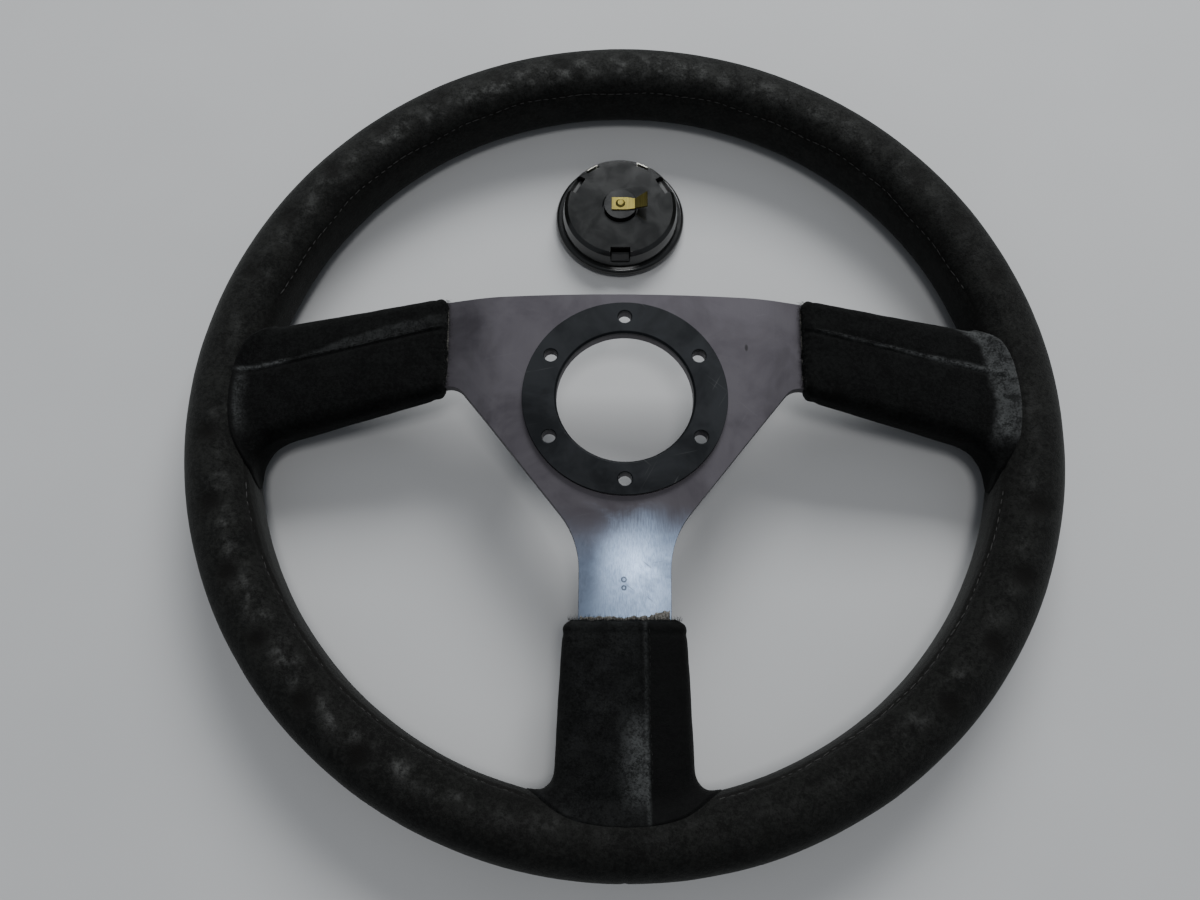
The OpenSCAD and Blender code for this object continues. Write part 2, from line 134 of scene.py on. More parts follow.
def coarse_noise(points, scale, seed=0):
    """The same as noise_at, but worked out once for each small cell, for big meshes."""
    cell = scale * MM / 6
    keys, back = np.unique(np.round(points / cell).astype(int), axis=0, return_inverse=True)
    return noise_at(keys * cell, scale, seed)[back.ravel()]


def in_scene(name, data):
    """A new object of the scene, at the origin."""
    obj = bpy.data.objects.new(name, data)
    bpy.context.scene.collection.objects.link(obj)
    return obj


def new_mesh(name, points, faces, material, attributes=None):
    """A smooth mesh object, in the row frame, with its own material and point attributes."""
    mesh = bpy.data.meshes.new(name)
    mesh.from_pydata([tuple(p) for p in points], [], [tuple(f) for f in faces])
    for key, values in (attributes or {}).items():
        layer = mesh.attributes.new(key, "FLOAT", "POINT")
        layer.data.foreach_set("value", np.asarray(values, np.float32))
    mesh.polygons.foreach_set("use_smooth", [True] * len(mesh.polygons))
    mesh.materials.append(material)
    mesh.update()
    return in_scene(name, mesh)


def grid_faces(rows, cols, closed_rows=False, closed_cols=False, start=0):
    """Quads of a grid whose points run row by row."""
    faces = []
    for i in range(rows if closed_rows else rows - 1):
        for j in range(cols if closed_cols else cols - 1):
            a, b = i, (i + 1) % rows
            c, d = j, (j + 1) % cols
            corners = (a * cols + c, b * cols + c, b * cols + d, a * cols + d)
            faces.append(tuple(start + corner for corner in corners))
    return faces


def outward(obj):
    """Turns a closed mesh's faces outwards."""
    bm = bmesh.new()
    bm.from_mesh(obj.data)
    bmesh.ops.remove_doubles(bm, verts=bm.verts, dist=1e-7)
    bmesh.ops.recalc_face_normals(bm, faces=bm.faces)
    bm.to_mesh(obj.data)
    bm.free()
    return obj


def finished(obj):
    """Replaces an object's mesh by what its modifiers make of it, and drops the modifiers."""
    bpy.context.view_layer.update()
    graph = bpy.context.evaluated_depsgraph_get()
    mesh = bpy.data.meshes.new_from_object(obj.evaluated_get(graph))
    obj.modifiers.clear()
    obj.data = mesh
    return obj


def declare(obj, body, slot, *nodes):
    """Says which body a finished piece rides on and which CAD nodes it stands for; its slot is not used."""
    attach(obj, body)
    if nodes:
        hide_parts(*nodes)
    return obj


def skin(name, outer, inner, rows, every, material, masks, hub_end):
    """A closed skin of suede from its outer points and its inner ones, of which every few rows are kept.

    At its rim end a narrow band joins both layers. At its start another one does, or, where that is the
    hub end of a pad, each layer is closed straight across."""
    cols = len(outer) // rows
    kept = list(range(0, rows - 1, every)) + [rows - 1]
    pick = (np.arange(cols)[None, :] + np.array(kept)[:, None] * cols).ravel()
    count = len(outer)
    faces = [f[::-1] for f in grid_faces(rows, cols, closed_cols=True)]
    faces += grid_faces(len(kept), cols, closed_cols=True, start=count)
    if hub_end:
        faces += [tuple(range(cols - 1, -1, -1)), tuple(count + j for j in range(cols))]
    outer_end, inner_end = (rows - 1) * cols, count + (len(kept) - 1) * cols
    for j in range(cols):
        k = (j + 1) % cols
        if hub_end:
            faces.append((outer_end + j, outer_end + k, inner_end + k, inner_end + j))
        else:
            faces.append((j, k, count + k, count + j))
            faces.append((outer_end + k, outer_end + j, inner_end + j, inner_end + k))
    masks = {key: np.append(values, values[pick]) for key, values in masks.items()}
    return outward(new_mesh(name, np.vstack([outer, inner[pick]]), faces, material, masks))


# ---- shader groups


def new_group(name, inputs, outputs):
    """A shader node group with inputs given as (name, kind, value) and the names of its outputs."""
    group = bpy.data.node_groups.new(name, "ShaderNodeTree")
    for label, kind, value in inputs:
        socket = group.interface.new_socket(label, in_out="INPUT", socket_type="NodeSocket" + kind)
        socket.default_value = value
    for label in outputs:
        group.interface.new_socket(label, in_out="OUTPUT", socket_type="NodeSocketFloat")
    made, given = group.nodes.new("NodeGroupOutput").inputs, group.nodes.new("NodeGroupInput").outputs
    return group, Wiring(group), given, made


class Wiring:
    """Adds and links nodes in one tree."""

    def __init__(self, tree):
        self.tree = tree

    def node(self, kind, inputs=None, **settings):
        made = self.tree.nodes.new(kind)
        for key, value in settings.items():
            setattr(made, key, value)
        for key, value in (inputs or {}).items():
            self.feed(made.inputs[key], value)
        return made

    def feed(self, socket, value):
        if isinstance(value, bpy.types.NodeSocket):
            self.tree.links.new(value, socket)
        else:
            socket.default_value = value

    def math(self, operation, *values, clamp=False):
        made = self.tree.nodes.new("ShaderNodeMath")
        made.operation, made.use_clamp = operation, clamp
        for socket, value in zip(made.inputs, values):
            self.feed(socket, value)
        return made.outputs[0]

    def times(self, *values, clamp=False):
        return self.math("MULTIPLY", *values, clamp=clamp)

    def plus(self, *values, clamp=False):
        return self.math("ADD", *values, clamp=clamp)

    def minus(self, *values):
        return self.math("SUBTRACT", *values)

    def place(self):
        """The point of the piece, in its own metres."""
        return self.node("ShaderNodeTexCoord").outputs["Object"]

    def attribute(self, name):
        return self.node("ShaderNodeAttribute", attribute_name=name).outputs["Fac"]

    def vector(self, operation, a, b):
        return self.node("ShaderNodeVectorMath", {0: a, 1: b}, operation=operation).outputs[0]

    def xyz(self, x, y, z):
        return self.node("ShaderNodeCombineXYZ", {"X": x, "Y": y, "Z": z}).outputs[0]

    def mapped(self, where, **how):
        return self.node("ShaderNodeMapping", {"Vector": where, **how}).outputs[0]

    def noise(self, where, scale, detail=3.0, roughness=0.55, distortion=0.0):
        given = {"Scale": scale, "Detail": detail, "Roughness": roughness, "Distortion": distortion}
        return self.node("ShaderNodeTexNoise", {"Vector": where, **given}).outputs["Fac"]

    def ramp(self, value, low, high):
        """0 below low and 1 above high."""
        return self.node("ShaderNodeMapRange", {"Value": value, "From Min": low, "From Max": high},
                         interpolation_type="SMOOTHSTEP").outputs["Result"]

    def mix(self, share, a, b):
        made = self.tree.nodes.new("ShaderNodeMix")
        made.data_type = "RGBA"
        self.feed(made.inputs[0], share)
        self.feed(made.inputs[6], a)
        self.feed(made.inputs[7], b)
        return made.outputs[2]

    def group(self, group, **inputs):
        made = self.tree.nodes.new("ShaderNodeGroup")
        made.node_tree = group
        for key, value in inputs.items():
            self.feed(made.inputs[key.replace("_", " ")], value)
        return made.outputs


def nap_group():
    """Suede nap: short fibres, tufts and brushed patches."""
    group, w, given, made = new_group(
        "suede_nap", [("Scale", "Float", 1.0)], ["Tone", "Height"])
    where = w.place()
    fibre = w.noise(where, w.times(given["Scale"], 1900.0), 4.0, 0.7)
    tuft = w.noise(where, w.times(given["Scale"], 620.0), 3.0, 0.6, 0.4)
    brushed = w.noise(where, w.times(given["Scale"], 95.0), 3.0, 0.6, 0.6)
    tone = w.plus(w.times(fibre, 0.36), w.times(tuft, 0.40))
    tone = w.plus(tone, w.times(brushed, 0.24))
    w.feed(made["Tone"], w.ramp(tone, 0.42, 0.60))
    w.feed(made["Height"], w.plus(w.times(fibre, 0.5), w.times(tuft, 0.5)))
    return group


def wear_and_light_group():
    """Rubbed places, and on the rim painted light: a mask from the piece's own attribute of wear and painted
    light, broken up by the nap.
    """
    group, w, given, made = new_group(
        "wear_and_light_places", [("Mask", "Float", 0.0), ("Break up", "Float", 0.6), ("Scale", "Float", 1.0)],
        ["Amount"])
    where = w.place()
    fine = w.noise(where, w.times(given["Scale"], 1100.0), 3.0, 0.75)
    broad = w.noise(where, w.times(given["Scale"], 170.0), 3.0, 0.6, 0.8)
    speck = w.plus(w.times(fine, 0.55), w.times(broad, 0.45))
    cut = w.times(w.ramp(speck, 0.40, 0.60), given["Break up"])
    keep = w.plus(cut, w.minus(1.0, given["Break up"]))
    w.feed(made["Amount"], w.times(given["Mask"], keep, clamp=True))
    return group


def brushed_group():
    """Rolled or brushed metal: fine streaks along one way, cloudy stain and a few scratches."""
    group, w, given, made = new_group(
        "brushed_metal",
        [("Vector", "Vector", (0, 0, 0)), ("Streaks", "Float", 60.0), ("Scratches", "Float", 0.3)],
        ["Streak", "Stain", "Scratch", "Height"])
    where = given["Vector"]
    long_way = w.mapped(where, Scale=(1.0, 0.03, 1.0))
    streak = w.noise(long_way, w.times(given["Streaks"], 50.0), 4.0, 0.65)
    stain = w.noise(where, 38.0, 5.0, 0.62, 0.5)
    scratch = None
    for turn, scale, squeeze in ((0.5, 900.0, 0.03), (-0.85, 760.0, 0.035), (1.35, 640.0, 0.025)):
        turned = w.mapped(where, Rotation=(0, 0, turn))
        thin = w.mapped(turned, Scale=(1.0, squeeze, 1.0))
        line = w.ramp(w.noise(thin, scale, 2.0, 0.5, 0.2), 0.71, 0.77)
        scratch = line if scratch is None else w.math("MAXIMUM", scratch, line)
    scratch = w.times(scratch, given["Scratches"])
    w.feed(made["Streak"], w.ramp(streak, 0.3, 0.7))
    w.feed(made["Stain"], w.ramp(stain, 0.32, 0.68))
    w.feed(made["Scratch"], scratch)
    w.feed(made["Height"], w.minus(w.times(streak, 0.5), scratch))
    return group


def moulded_group():
    """Moulded plastic: faint flow marks, fine dust and handling marks."""
    group, w, given, made = new_group(
        "moulded_plastic", [("Dust", "Float", 0.2)], ["Dust", "Flow", "Height"])
    where = w.place()
    flow = w.noise(where, 90.0, 3.0, 0.5, 0.8)
    speck = w.ramp(w.noise(where, 2600.0, 2.0, 0.6), 0.66, 0.74)
    film = w.ramp(w.noise(where, 210.0, 4.0, 0.65), 0.45, 0.75)
    dust = w.plus(w.times(speck, 0.6), w.times(film, 0.4))
    w.feed(made["Dust"], w.times(dust, given["Dust"], clamp=True))
    w.feed(made["Flow"], w.ramp(flow, 0.3, 0.7))
    w.feed(made["Height"], w.noise(where, 1500.0, 3.0, 0.6))
    return group


NAP = nap_group()
WEAR_AND_LIGHT = wear_and_light_group()
BRUSHED = brushed_group()
MOULDED = moulded_group()


# ---- materials


def new_material(name, **sockets):
    """A material with its even values set on the shader's own sockets, and the wiring of its tree."""
    material = bpy.data.materials.new(name)
    material.use_nodes = True
    shader = material.node_tree.nodes["Principled BSDF"]
    for key, value in sockets.items():
        shader.inputs[key.replace("_", " ")].default_value = value
    return material, Wiring(material.node_tree)


def surface(w, colour, rough, height, strength, distance):
    """Gives the shader in a tree its colour, its roughness and its relief."""
    sockets = w.tree.nodes["Principled BSDF"].inputs
    w.feed(sockets["Base Color"], colour)
    w.feed(sockets["Roughness"], rough)
    relief = {"Height": height, "Strength": strength, "Distance": distance}
    w.feed(sockets["Normal"], w.node("ShaderNodeBump", relief).outputs[0])


def grey(level, tint=(1, 1, 1)):
    return (level * tint[0], level * tint[1], level * tint[2], 1)


def suede(name, dark, light, wear_and_light_colour, dirt_and_shade_colour, scale, sheen):
    """Suede with its nap, its rubbed places with painted light on the rim, and its dirty places with painted
    shade.
    """
    material, w = new_material(name, Roughness=0.95, Sheen_Weight=sheen, Sheen_Roughness=0.45,
                               Sheen_Tint=(0.8, 0.82, 0.8, 1), Specular_IOR_Level=0.12)
    nap = w.group(NAP, Scale=scale)
    # one attribute carries rubbed nap and painted light, the other dirt and painted shade
    dirt_and_shade = w.attribute("dirt_and_shade")
    wear_and_light_amount = w.group(WEAR_AND_LIGHT, Mask=w.attribute("wear_and_light"), Break_up=0.8, Scale=scale)["Amount"]
    colour = w.mix(wear_and_light_amount, w.mix(nap["Tone"], dark, light), wear_and_light_colour)
    surface(w, w.mix(dirt_and_shade, colour, dirt_and_shade_colour), w.minus(0.97, w.times(dirt_and_shade, 0.22)),
            nap["Height"], 0.8, 0.5 * MM)
    return material


def thread_material(name, level):
    """Twisted thread."""
    material, w = new_material(name, Roughness=0.7, Sheen_Weight=0.05, Specular_IOR_Level=0.2)
    ply = w.noise(w.place(), 2400.0, 2.0, 0.5)
    colour = w.mix(w.ramp(ply, 0.3, 0.7), grey(level * 0.55), grey(level * 1.3, (1, 0.97, 0.92)))
    surface(w, colour, w.plus(0.6, w.times(ply, 0.3)), ply, 0.5, 0.1 * MM)
    return material


def distance_from(w, where, centre, stretch):
    """How far the surface is from a centre, seen from above."""
    offset = w.vector("MULTIPLY", w.vector("SUBTRACT", where, centre), stretch)
    return w.node("ShaderNodeVectorMath", {0: offset}, operation="LENGTH").outputs["Value"]


def plate_material():
    """Anodised sheet, aged purple-brown on the arms and rubbed to bluish metal down the lower spoke, whose
    bright bluish colour is partly painted reflection, with a painted highlight along it.
    """
    material, w = new_material("aged_anodised_plate", Metallic=0.85, Specular_IOR_Level=0.5)
    where = w.place()
    marks = w.group(BRUSHED, Vector=where, Streaks=60.0, Scratches=0.5)
    stain, streak = marks["Stain"], marks["Streak"]
    place = w.node("ShaderNodeSeparateXYZ", {"Vector": where}).outputs
    wavy = w.times(w.minus(stain, 0.5), 6 * MM)
    across, down = place["X"], w.minus(wavy, place["Y"])
    low = w.ramp(down, 43 * MM, 66 * MM)
    arms = w.mix(stain, grey(0.057, (1.03, 0.94, 1.08)), grey(0.078, (1.02, 0.95, 1.07)))
    # the lower spoke's bright bluish metal is partly a painted reflection; the darker colour below is its
    # painted shade
    spoke = w.mix(streak, grey(0.30, (0.68, 0.92, 1.36)), grey(0.64, (0.73, 0.95, 1.30)))
    spoke_in_painted_shade = w.mix(stain, grey(0.050, (0.72, 0.93, 1.34)), grey(0.11, (0.72, 0.93, 1.30)))
    # painted highlight: dark on the spoke's left, brightest in its middle, and dimmer to its right and
    # further down
    painted_highlight = w.ramp(w.plus(across, w.times(wavy, 1.2)), -18 * MM, 2 * MM)
    for highlight_falloff, share in ((w.ramp(down, 66 * MM, 88 * MM), 0.45), (w.ramp(across, 6 * MM, 18 * MM), 0.60)):
        painted_highlight = w.times(painted_highlight, w.minus(1.0, w.times(share, highlight_falloff)))
    colour = w.mix(low, arms, w.mix(painted_highlight, spoke_in_painted_shade, spoke))
    scratch = w.times(marks["Scratch"], w.plus(0.03, low, clamp=True))
    colour = w.mix(scratch, colour, w.mix(low, grey(0.42, (0.95, 0.98, 1.05)), grey(0.07, (0.8, 0.9, 1.2))))
    # a nick on the right arm, and two small punched rings low on the lower spoke
    nick = distance_from(w, where, (50 * MM, 22 * MM, 0), (1, 0.45, 0))
    dents = w.minus(1.0, w.ramp(nick, 0.35 * MM, 0.9 * MM))
    for height, size in ((-73.8 * MM, 0.85 * MM), (-76.9 * MM, 0.75 * MM)):
        far = distance_from(w, where, (-0.4 * MM, height, 0), (1, 1, 0))
        off_line = w.math("ABSOLUTE", w.minus(far, size))
        dents = w.math("MAXIMUM", dents, w.minus(1.0, w.ramp(off_line, 0.15 * MM, 0.40 * MM)))
    rough = w.minus(w.plus(0.40, w.times(stain, 0.14)), w.times(low, 0.08))
    surface(w, w.mix(w.times(dents, 0.75), colour, grey(0.012)), w.plus(rough, w.times(streak, 0.05)),
            w.minus(marks["Height"], w.times(dents, 2.0)), 0.12, 0.05 * MM)
    return material


def ring_material():
    """Satin black anodised ring, faintly blue, with handling marks."""
    material, w = new_material("satin_black_ring", Metallic=0.7, Specular_IOR_Level=0.25)
    marks = w.group(BRUSHED, Vector=w.place(), Streaks=90.0, Scratches=0.35)
    colour = w.mix(marks["Stain"], grey(0.010, (0.9, 1.0, 1.14)), grey(0.020, (0.92, 1.0, 1.12)))
    surface(w, w.mix(marks["Scratch"], colour, grey(0.12)), w.plus(0.38, w.times(marks["Stain"], 0.18)),
            marks["Height"], 0.1, 0.04 * MM)
    return material


def plastic_material(name, level, rough, dust, tint=(1, 1, 1), gloss=0.0):
    """Moulded plastic with its flow marks and a little dust."""
    material, w = new_material(name, Specular_IOR_Level=0.5, Coat_Weight=gloss, Coat_Roughness=0.06)
    marks = w.group(MOULDED, Dust=dust)
    colour = w.mix(marks["Flow"], grey(level * 0.75, tint), grey(level * 1.25, tint))
    colour = w.mix(marks["Dust"], colour, grey(0.16, (1, 0.98, 0.93)))
    rough = w.plus(w.plus(rough, w.times(marks["Flow"], 0.06)), w.times(marks["Dust"], 0.35), clamp=True)
    surface(w, colour, rough, marks["Height"], 0.06, 0.03 * MM)
    return material


def metal_material(name, dark, light, rough, tarnish=None):
    """Drawn or pressed metal."""
    material, w = new_material(name, Metallic=1.0)
    marks = w.group(BRUSHED, Vector=w.place(), Streaks=40.0, Scratches=0.4)
    colour = w.mix(marks["Streak"], dark, light)
    if tarnish:
        colour = w.mix(w.times(marks["Stain"], 0.6), colour, tarnish)
    surface(w, colour, w.plus(rough, w.times(marks["Stain"], 0.15)), marks["Height"], 0.1, 0.03 * MM)
    return material


def foam_material():
    """Moulded grip foam: fine closed cells."""
    material, w = new_material("grip_foam", Roughness=0.85, Specular_IOR_Level=0.25)
    cells = w.node("ShaderNodeTexVoronoi", {"Vector": w.place(), "Scale": 900.0}).outputs["Distance"]
    colour, rough = w.mix(cells, grey(0.012), grey(0.03)), w.minus(0.92, w.times(cells, 0.15))
    surface(w, colour, rough, cells, 0.4, 0.3 * MM)
    return material


def glue_material():
    """Old contact glue along the edge of a pad: dry, light brown and crumbly."""
    material, w = new_material("old_glue", Roughness=0.6, Specular_IOR_Level=0.4)
    where = w.place()
    crumbs = w.noise(where, 1300.0, 4.0, 0.7)
    film = w.noise(where, 260.0, 3.0, 0.6)
    colour = w.mix(w.ramp(crumbs, 0.4, 0.65), grey(0.05, (1.05, 0.95, 0.8)), grey(0.20, (1.05, 1.0, 0.9)))
    surface(w, colour, w.plus(0.45, w.times(film, 0.4)), crumbs, 0.6, 0.2 * MM)
    return material


# Each suede's fourth colour is for rubbed nap and painted light, its fifth for dirt and painted shade
RIM_SUEDE = suede("rim_suede", grey(0.0030, (1.0, 1.03, 0.93)), grey(0.0125, (1.0, 1.03, 0.94)),
                  grey(0.075, (1.0, 1.01, 0.97)), grey(0.0014, (1.3, 1.05, 0.75)), 1.0, 0.09)
PAD_SUEDE = suede("pad_suede", grey(0.0006, (1, 1.04, 1.02)), grey(0.0044, (1, 1.06, 1.03)),
                  grey(0.066, (0.98, 1.02, 1.02)), grey(0.0012), 1.1, 0.04)
LAP_SUEDE = suede("lap_suede", grey(0.002, (1, 1.03, 1.02)), grey(0.007, (1, 1.03, 1.02)),
                  grey(0.050, (0.98, 1.02, 1.03)), grey(0.0012), 1.1, 0.06)
SEAM_THREAD = thread_material("seam_thread", 0.038)
PAD_THREAD = thread_material("pad_thread", 0.005)
PLATE = plate_material()
RING = ring_material()
GLOSS = plastic_material("gloss_black", 0.007, 0.15, 0.05, (1.0, 1.03, 0.95), 0.28)
CAP = plastic_material("cap_black", 0.010, 0.30, 0.12)
BADGE = plastic_material("badge_grey", 0.030, 0.34, 0.06)
BOSS = plastic_material("boss_black", 0.005, 0.20, 0.06, (1, 1, 1), 0.3)
BRASS = metal_material("aged_brass", grey(0.17, (1.14, 0.96, 0.26)), grey(0.30, (1.16, 0.98, 0.28)), 0.30,
                       tarnish=grey(0.10, (1.1, 0.90, 0.26)))
TIN = metal_material("spring_tin", grey(0.42, (1.03, 1.0, 0.88)), grey(0.70, (1.02, 1.0, 0.9)), 0.22)
STEEL = metal_material("drawn_steel", grey(0.33, (0.98, 1, 1.03)), grey(0.52, (0.98, 1, 1.03)), 0.32)
RIVET = metal_material("rivet_alloy", grey(0.50), grey(0.72), 0.3)
FOAM = foam_material()
GLUE = glue_material()


# ---- stitches and loose fibres


def row_tree(name, shape):
    """A node tree that lays small shapes along a line, each turned and sized a little anew."""
    tree = bpy.data.node_groups.new(name, "GeometryNodeTree")
    inputs = [("Geometry", "Geometry"), ("Seed", "Int"), ("Material", "Material")]
    inputs += [(size, "Float") for size in ("Pitch", "Length", "Thickness", "Lean", "Unevenness")]
    for label, kind in inputs:
        tree.interface.new_socket(label, in_out="INPUT", socket_type="NodeSocket" + kind)
    tree.interface.new_socket("Geometry", in_out="OUTPUT", socket_type="NodeSocketGeometry")
    w = Wiring(tree)
    given = w.node("NodeGroupInput").outputs
    curve = w.node("GeometryNodeMeshToCurve", {"Mesh": given["Geometry"]}).outputs["Curve"]
    spacing = {"Curve": curve, "Length": given["Pitch"]}
    points = w.node("GeometryNodeCurveToPoints", spacing, mode="LENGTH").outputs
    up = w.node("GeometryNodeInputNamedAttribute", {"Name": "up"}, data_type="FLOAT_VECTOR").outputs[0]
    half_thick, half_long = w.times(given["Thickness"], 0.5), w.times(given["Length"], 0.5)
    if shape == "stitch":
        sphere = {"Segments": 6, "Rings": 6, "Radius": 1.0}
        part = w.node("GeometryNodeMeshUVSphere", sphere).outputs["Mesh"]
        ahead, aside = points["Tangent"], up
    else:
        cone = {"Vertices": 3, "Side Segments": 1, "Fill Segments": 1,
                "Radius Top": 0.25, "Radius Bottom": 1.0, "Depth": 2.0}
        part = w.node("GeometryNodeMeshCone", cone).outputs["Mesh"]
        ahead, aside = up, points["Tangent"]
    size = w.xyz(half_thick, half_thick, half_long)
    part = w.node("GeometryNodeTransform", {"Geometry": part, "Scale": size}).outputs[0]
    axes = {"Primary Axis": ahead, "Secondary Axis": aside}
    turn = w.node("FunctionNodeAxesToRotation", axes, primary_axis="Z", secondary_axis="X").outputs[0]
    lean = w.xyz(given["Lean"], given["Lean"], given["Lean"])
    leaning = {"Min": w.vector("MULTIPLY", lean, (-1, -1, -1)), "Max": lean, "Seed": given["Seed"]}
    leaning = w.node("FunctionNodeRandomValue", leaning, data_type="FLOAT_VECTOR").outputs[0]
    leaning = w.node("FunctionNodeEulerToRotation", {"Euler": leaning}).outputs[0]
    turn = w.node("FunctionNodeRotateRotation", {"Rotation": turn, "Rotate By": leaning},
                  rotation_space="LOCAL").outputs[0]
    uneven = w.node("FunctionNodeRandomValue", data_type="FLOAT")
    floats = [socket for socket in uneven.inputs if socket.type == "VALUE"]
    w.feed(floats[0], w.minus(1.0, given["Unevenness"]))
    w.feed(floats[1], w.plus(1.0, given["Unevenness"]))
    w.feed(uneven.inputs["Seed"], w.plus(given["Seed"], 5.0))
    length = [socket for socket in uneven.outputs if socket.type == "VALUE"][0]
    laid = {"Points": points["Points"], "Instance": part, "Rotation": turn, "Scale": w.xyz(1.0, 1.0, length)}
    solid = w.node("GeometryNodeInstanceOnPoints", laid).outputs[0]
    solid = w.node("GeometryNodeRealizeInstances", {"Geometry": solid}).outputs[0]
    solid = w.node("GeometryNodeSetShadeSmooth", {"Geometry": solid}).outputs[0]
    solid = w.node("GeometryNodeSetMaterial", {"Geometry": solid, "Material": given["Material"]}).outputs[0]
    w.feed(w.node("NodeGroupOutput").inputs["Geometry"], solid)
    return tree


STITCH_ROW = row_tree("stitch_row", "stitch")
FIBRE_ROW = row_tree("fibre_row", "fibre")


def laid_row(name, lines, tree, material, seed, **sizes):
    """Small shapes along several lines, each line a list of points and a list of the ways up there."""
    points = np.vstack([line[0] for line in lines])
    ups = np.vstack([line[1] for line in lines])
    mesh = bpy.data.meshes.new(name)
    edges, start = [], 0
    for line, _ in lines:
        edges += [(start + i, start + i + 1) for i in range(len(line) - 1)]
        start += len(line)
    mesh.from_pydata([tuple(p) for p in points], edges, [])
    layer = mesh.attributes.new("up", "FLOAT_VECTOR", "POINT")
    layer.data.foreach_set("vector", ups.astype(np.float32).ravel())
    obj = in_scene(name, mesh)
    maker = obj.modifiers.new("row", "NODES")
    maker.node_group = tree
    sizes.update(Seed=seed, Material=material)
    for item in tree.interface.items_tree:
        if item.item_type == "SOCKET" and item.in_out == "INPUT" and item.name in sizes:
            maker[item.identifier] = sizes[item.name]
    return outward(finished(obj))


# ---- rim suede

# Finger marks round the crest, as angles round the wheel, with how strongly each shows
FINGERS = ([(a, 1.0) for a in range(-45, -5, 10)] + [(a, 1.0) for a in range(-175, -115, 10)]
           + [(a, 0.6) for a in (20, 30, 40, 100, 110, 120, 130, 140, 150, 160)])
FINGER_SECTION, FINGER_LONG, FINGER_WIDE = 87, 4.2 * MM, 4.6 * MM
# The stitched lengths of the rim's seam, clear of the pads, as angles round the wheel
STITCHED = ((21, 161), (193, 257), (283, 347))
RIM_COLS, RIM_STEP = 96, 1.2 * MM


def rim_point(theta, phi, lift=0.0):
    """A point of the rim's skin at an angle round the wheel and a section angle, lifted outwards."""
    across, up = np.cos(phi), np.sin(phi)
    r = RING_R + across * GRIP_R + across * lift
    z = RIM_MID_Z + (up * GRIP_R + np.clip(up * 8, -1, 1) * STRAIGHT) + up * lift
    return np.stack([r * np.cos(theta), r * np.sin(theta), z], -1)


def seam_wander(turn):
    """How far the rim's seam strays from its line, at angles round the wheel in degrees."""
    return 0.5 * MM * np.sin(turn * 0.21 + 1.0) + 0.3 * MM * np.sin(turn * 0.57)


def finger_marks(turn, section):
    """1 in the middle of each hollow that fingers have pressed, and 0 between them."""
    marks = np.zeros(len(turn))
    for angle, strength in FINGERS:
        around = np.radians(turn - angle) * RING_R / FINGER_LONG
        over = np.radians(section - FINGER_SECTION) * GRIP_R / FINGER_WIDE
        marks = np.maximum(marks, strength * np.exp(-(around ** 2 + over ** 2) ** 1.3))
    return marks


def rim_wear(base, turn, section, fingers, groove, soft):
    """Rubbed nap in blotches inside the crest, between the finger marks, and a crest lighter towards the top
    of the wheel, partly dust and partly painted light; what hands have dirtied, and painted shade on the
    inner side and at the bottom.
    """
    crest, inboard, inner = bump_at(section, 98, 26), bump_at(section, 106, 15), bump_at(section, 165, 32)
    blotch = coarse_noise(base, 7, 3) * 1.6 + coarse_noise(base, 2.5, 4) * 1.1 + 0.1
    blotch = np.clip(blotch, 0, 1)
    stripe = np.clip(0.5 + 0.5 * np.cos(np.radians(turn) * 36), 0, 1)
    zones = (bump_at(turn, -140, 40), bump_at(turn, 110, 45), 0.45 * bump_at(turn, -35, 35))
    where = np.maximum.reduce(zones)
    # dust and painted light: the crest is drawn a little lighter all round, and much lighter towards the top
    # of the wheel, where the light falls on it
    dust_and_painted_light = 0.13 + 0.68 * bump_at(turn, 95, 50)
    wear_and_light = inboard * blotch * where * (0.35 + 0.65 * stripe) + crest * dust_and_painted_light * (0.45 + 0.55 * blotch)
    # painted light on the inner side at the top of the wheel
    painted_light_inner_top = 0.06 * bump_at(section, 165, 40) * bump_at(turn, 90, 60)
    wear_and_light = np.clip(wear_and_light * (1 - 0.85 * fingers) * 0.85 + painted_light_inner_top, 0, 1)
    # dark finger marks, and painted shade along the lower inner side
    dirt_and_shade = np.clip(0.97 * fingers + 0.22 * bump_at(section, 200, 45) * (0.5 + 0.5 * soft), 0, 1)
    # painted shade on the inner side, none at the top of the wheel and most at its left, and more at the
    # bottom and on the right
    shade = 0.40 - 0.40 * bump_at(turn, 90, 60) + 0.35 * bump_at(np.abs(turn), 180, 45)
    painted_shade = shade * inner + 0.30 * bump_at(turn, -90, 42) + 0.15 * bump_at(turn, -10, 40)
    return wear_and_light, np.clip(dirt_and_shade + 0.5 * groove + painted_shade * (0.8 + 0.4 * soft), 0, 1)


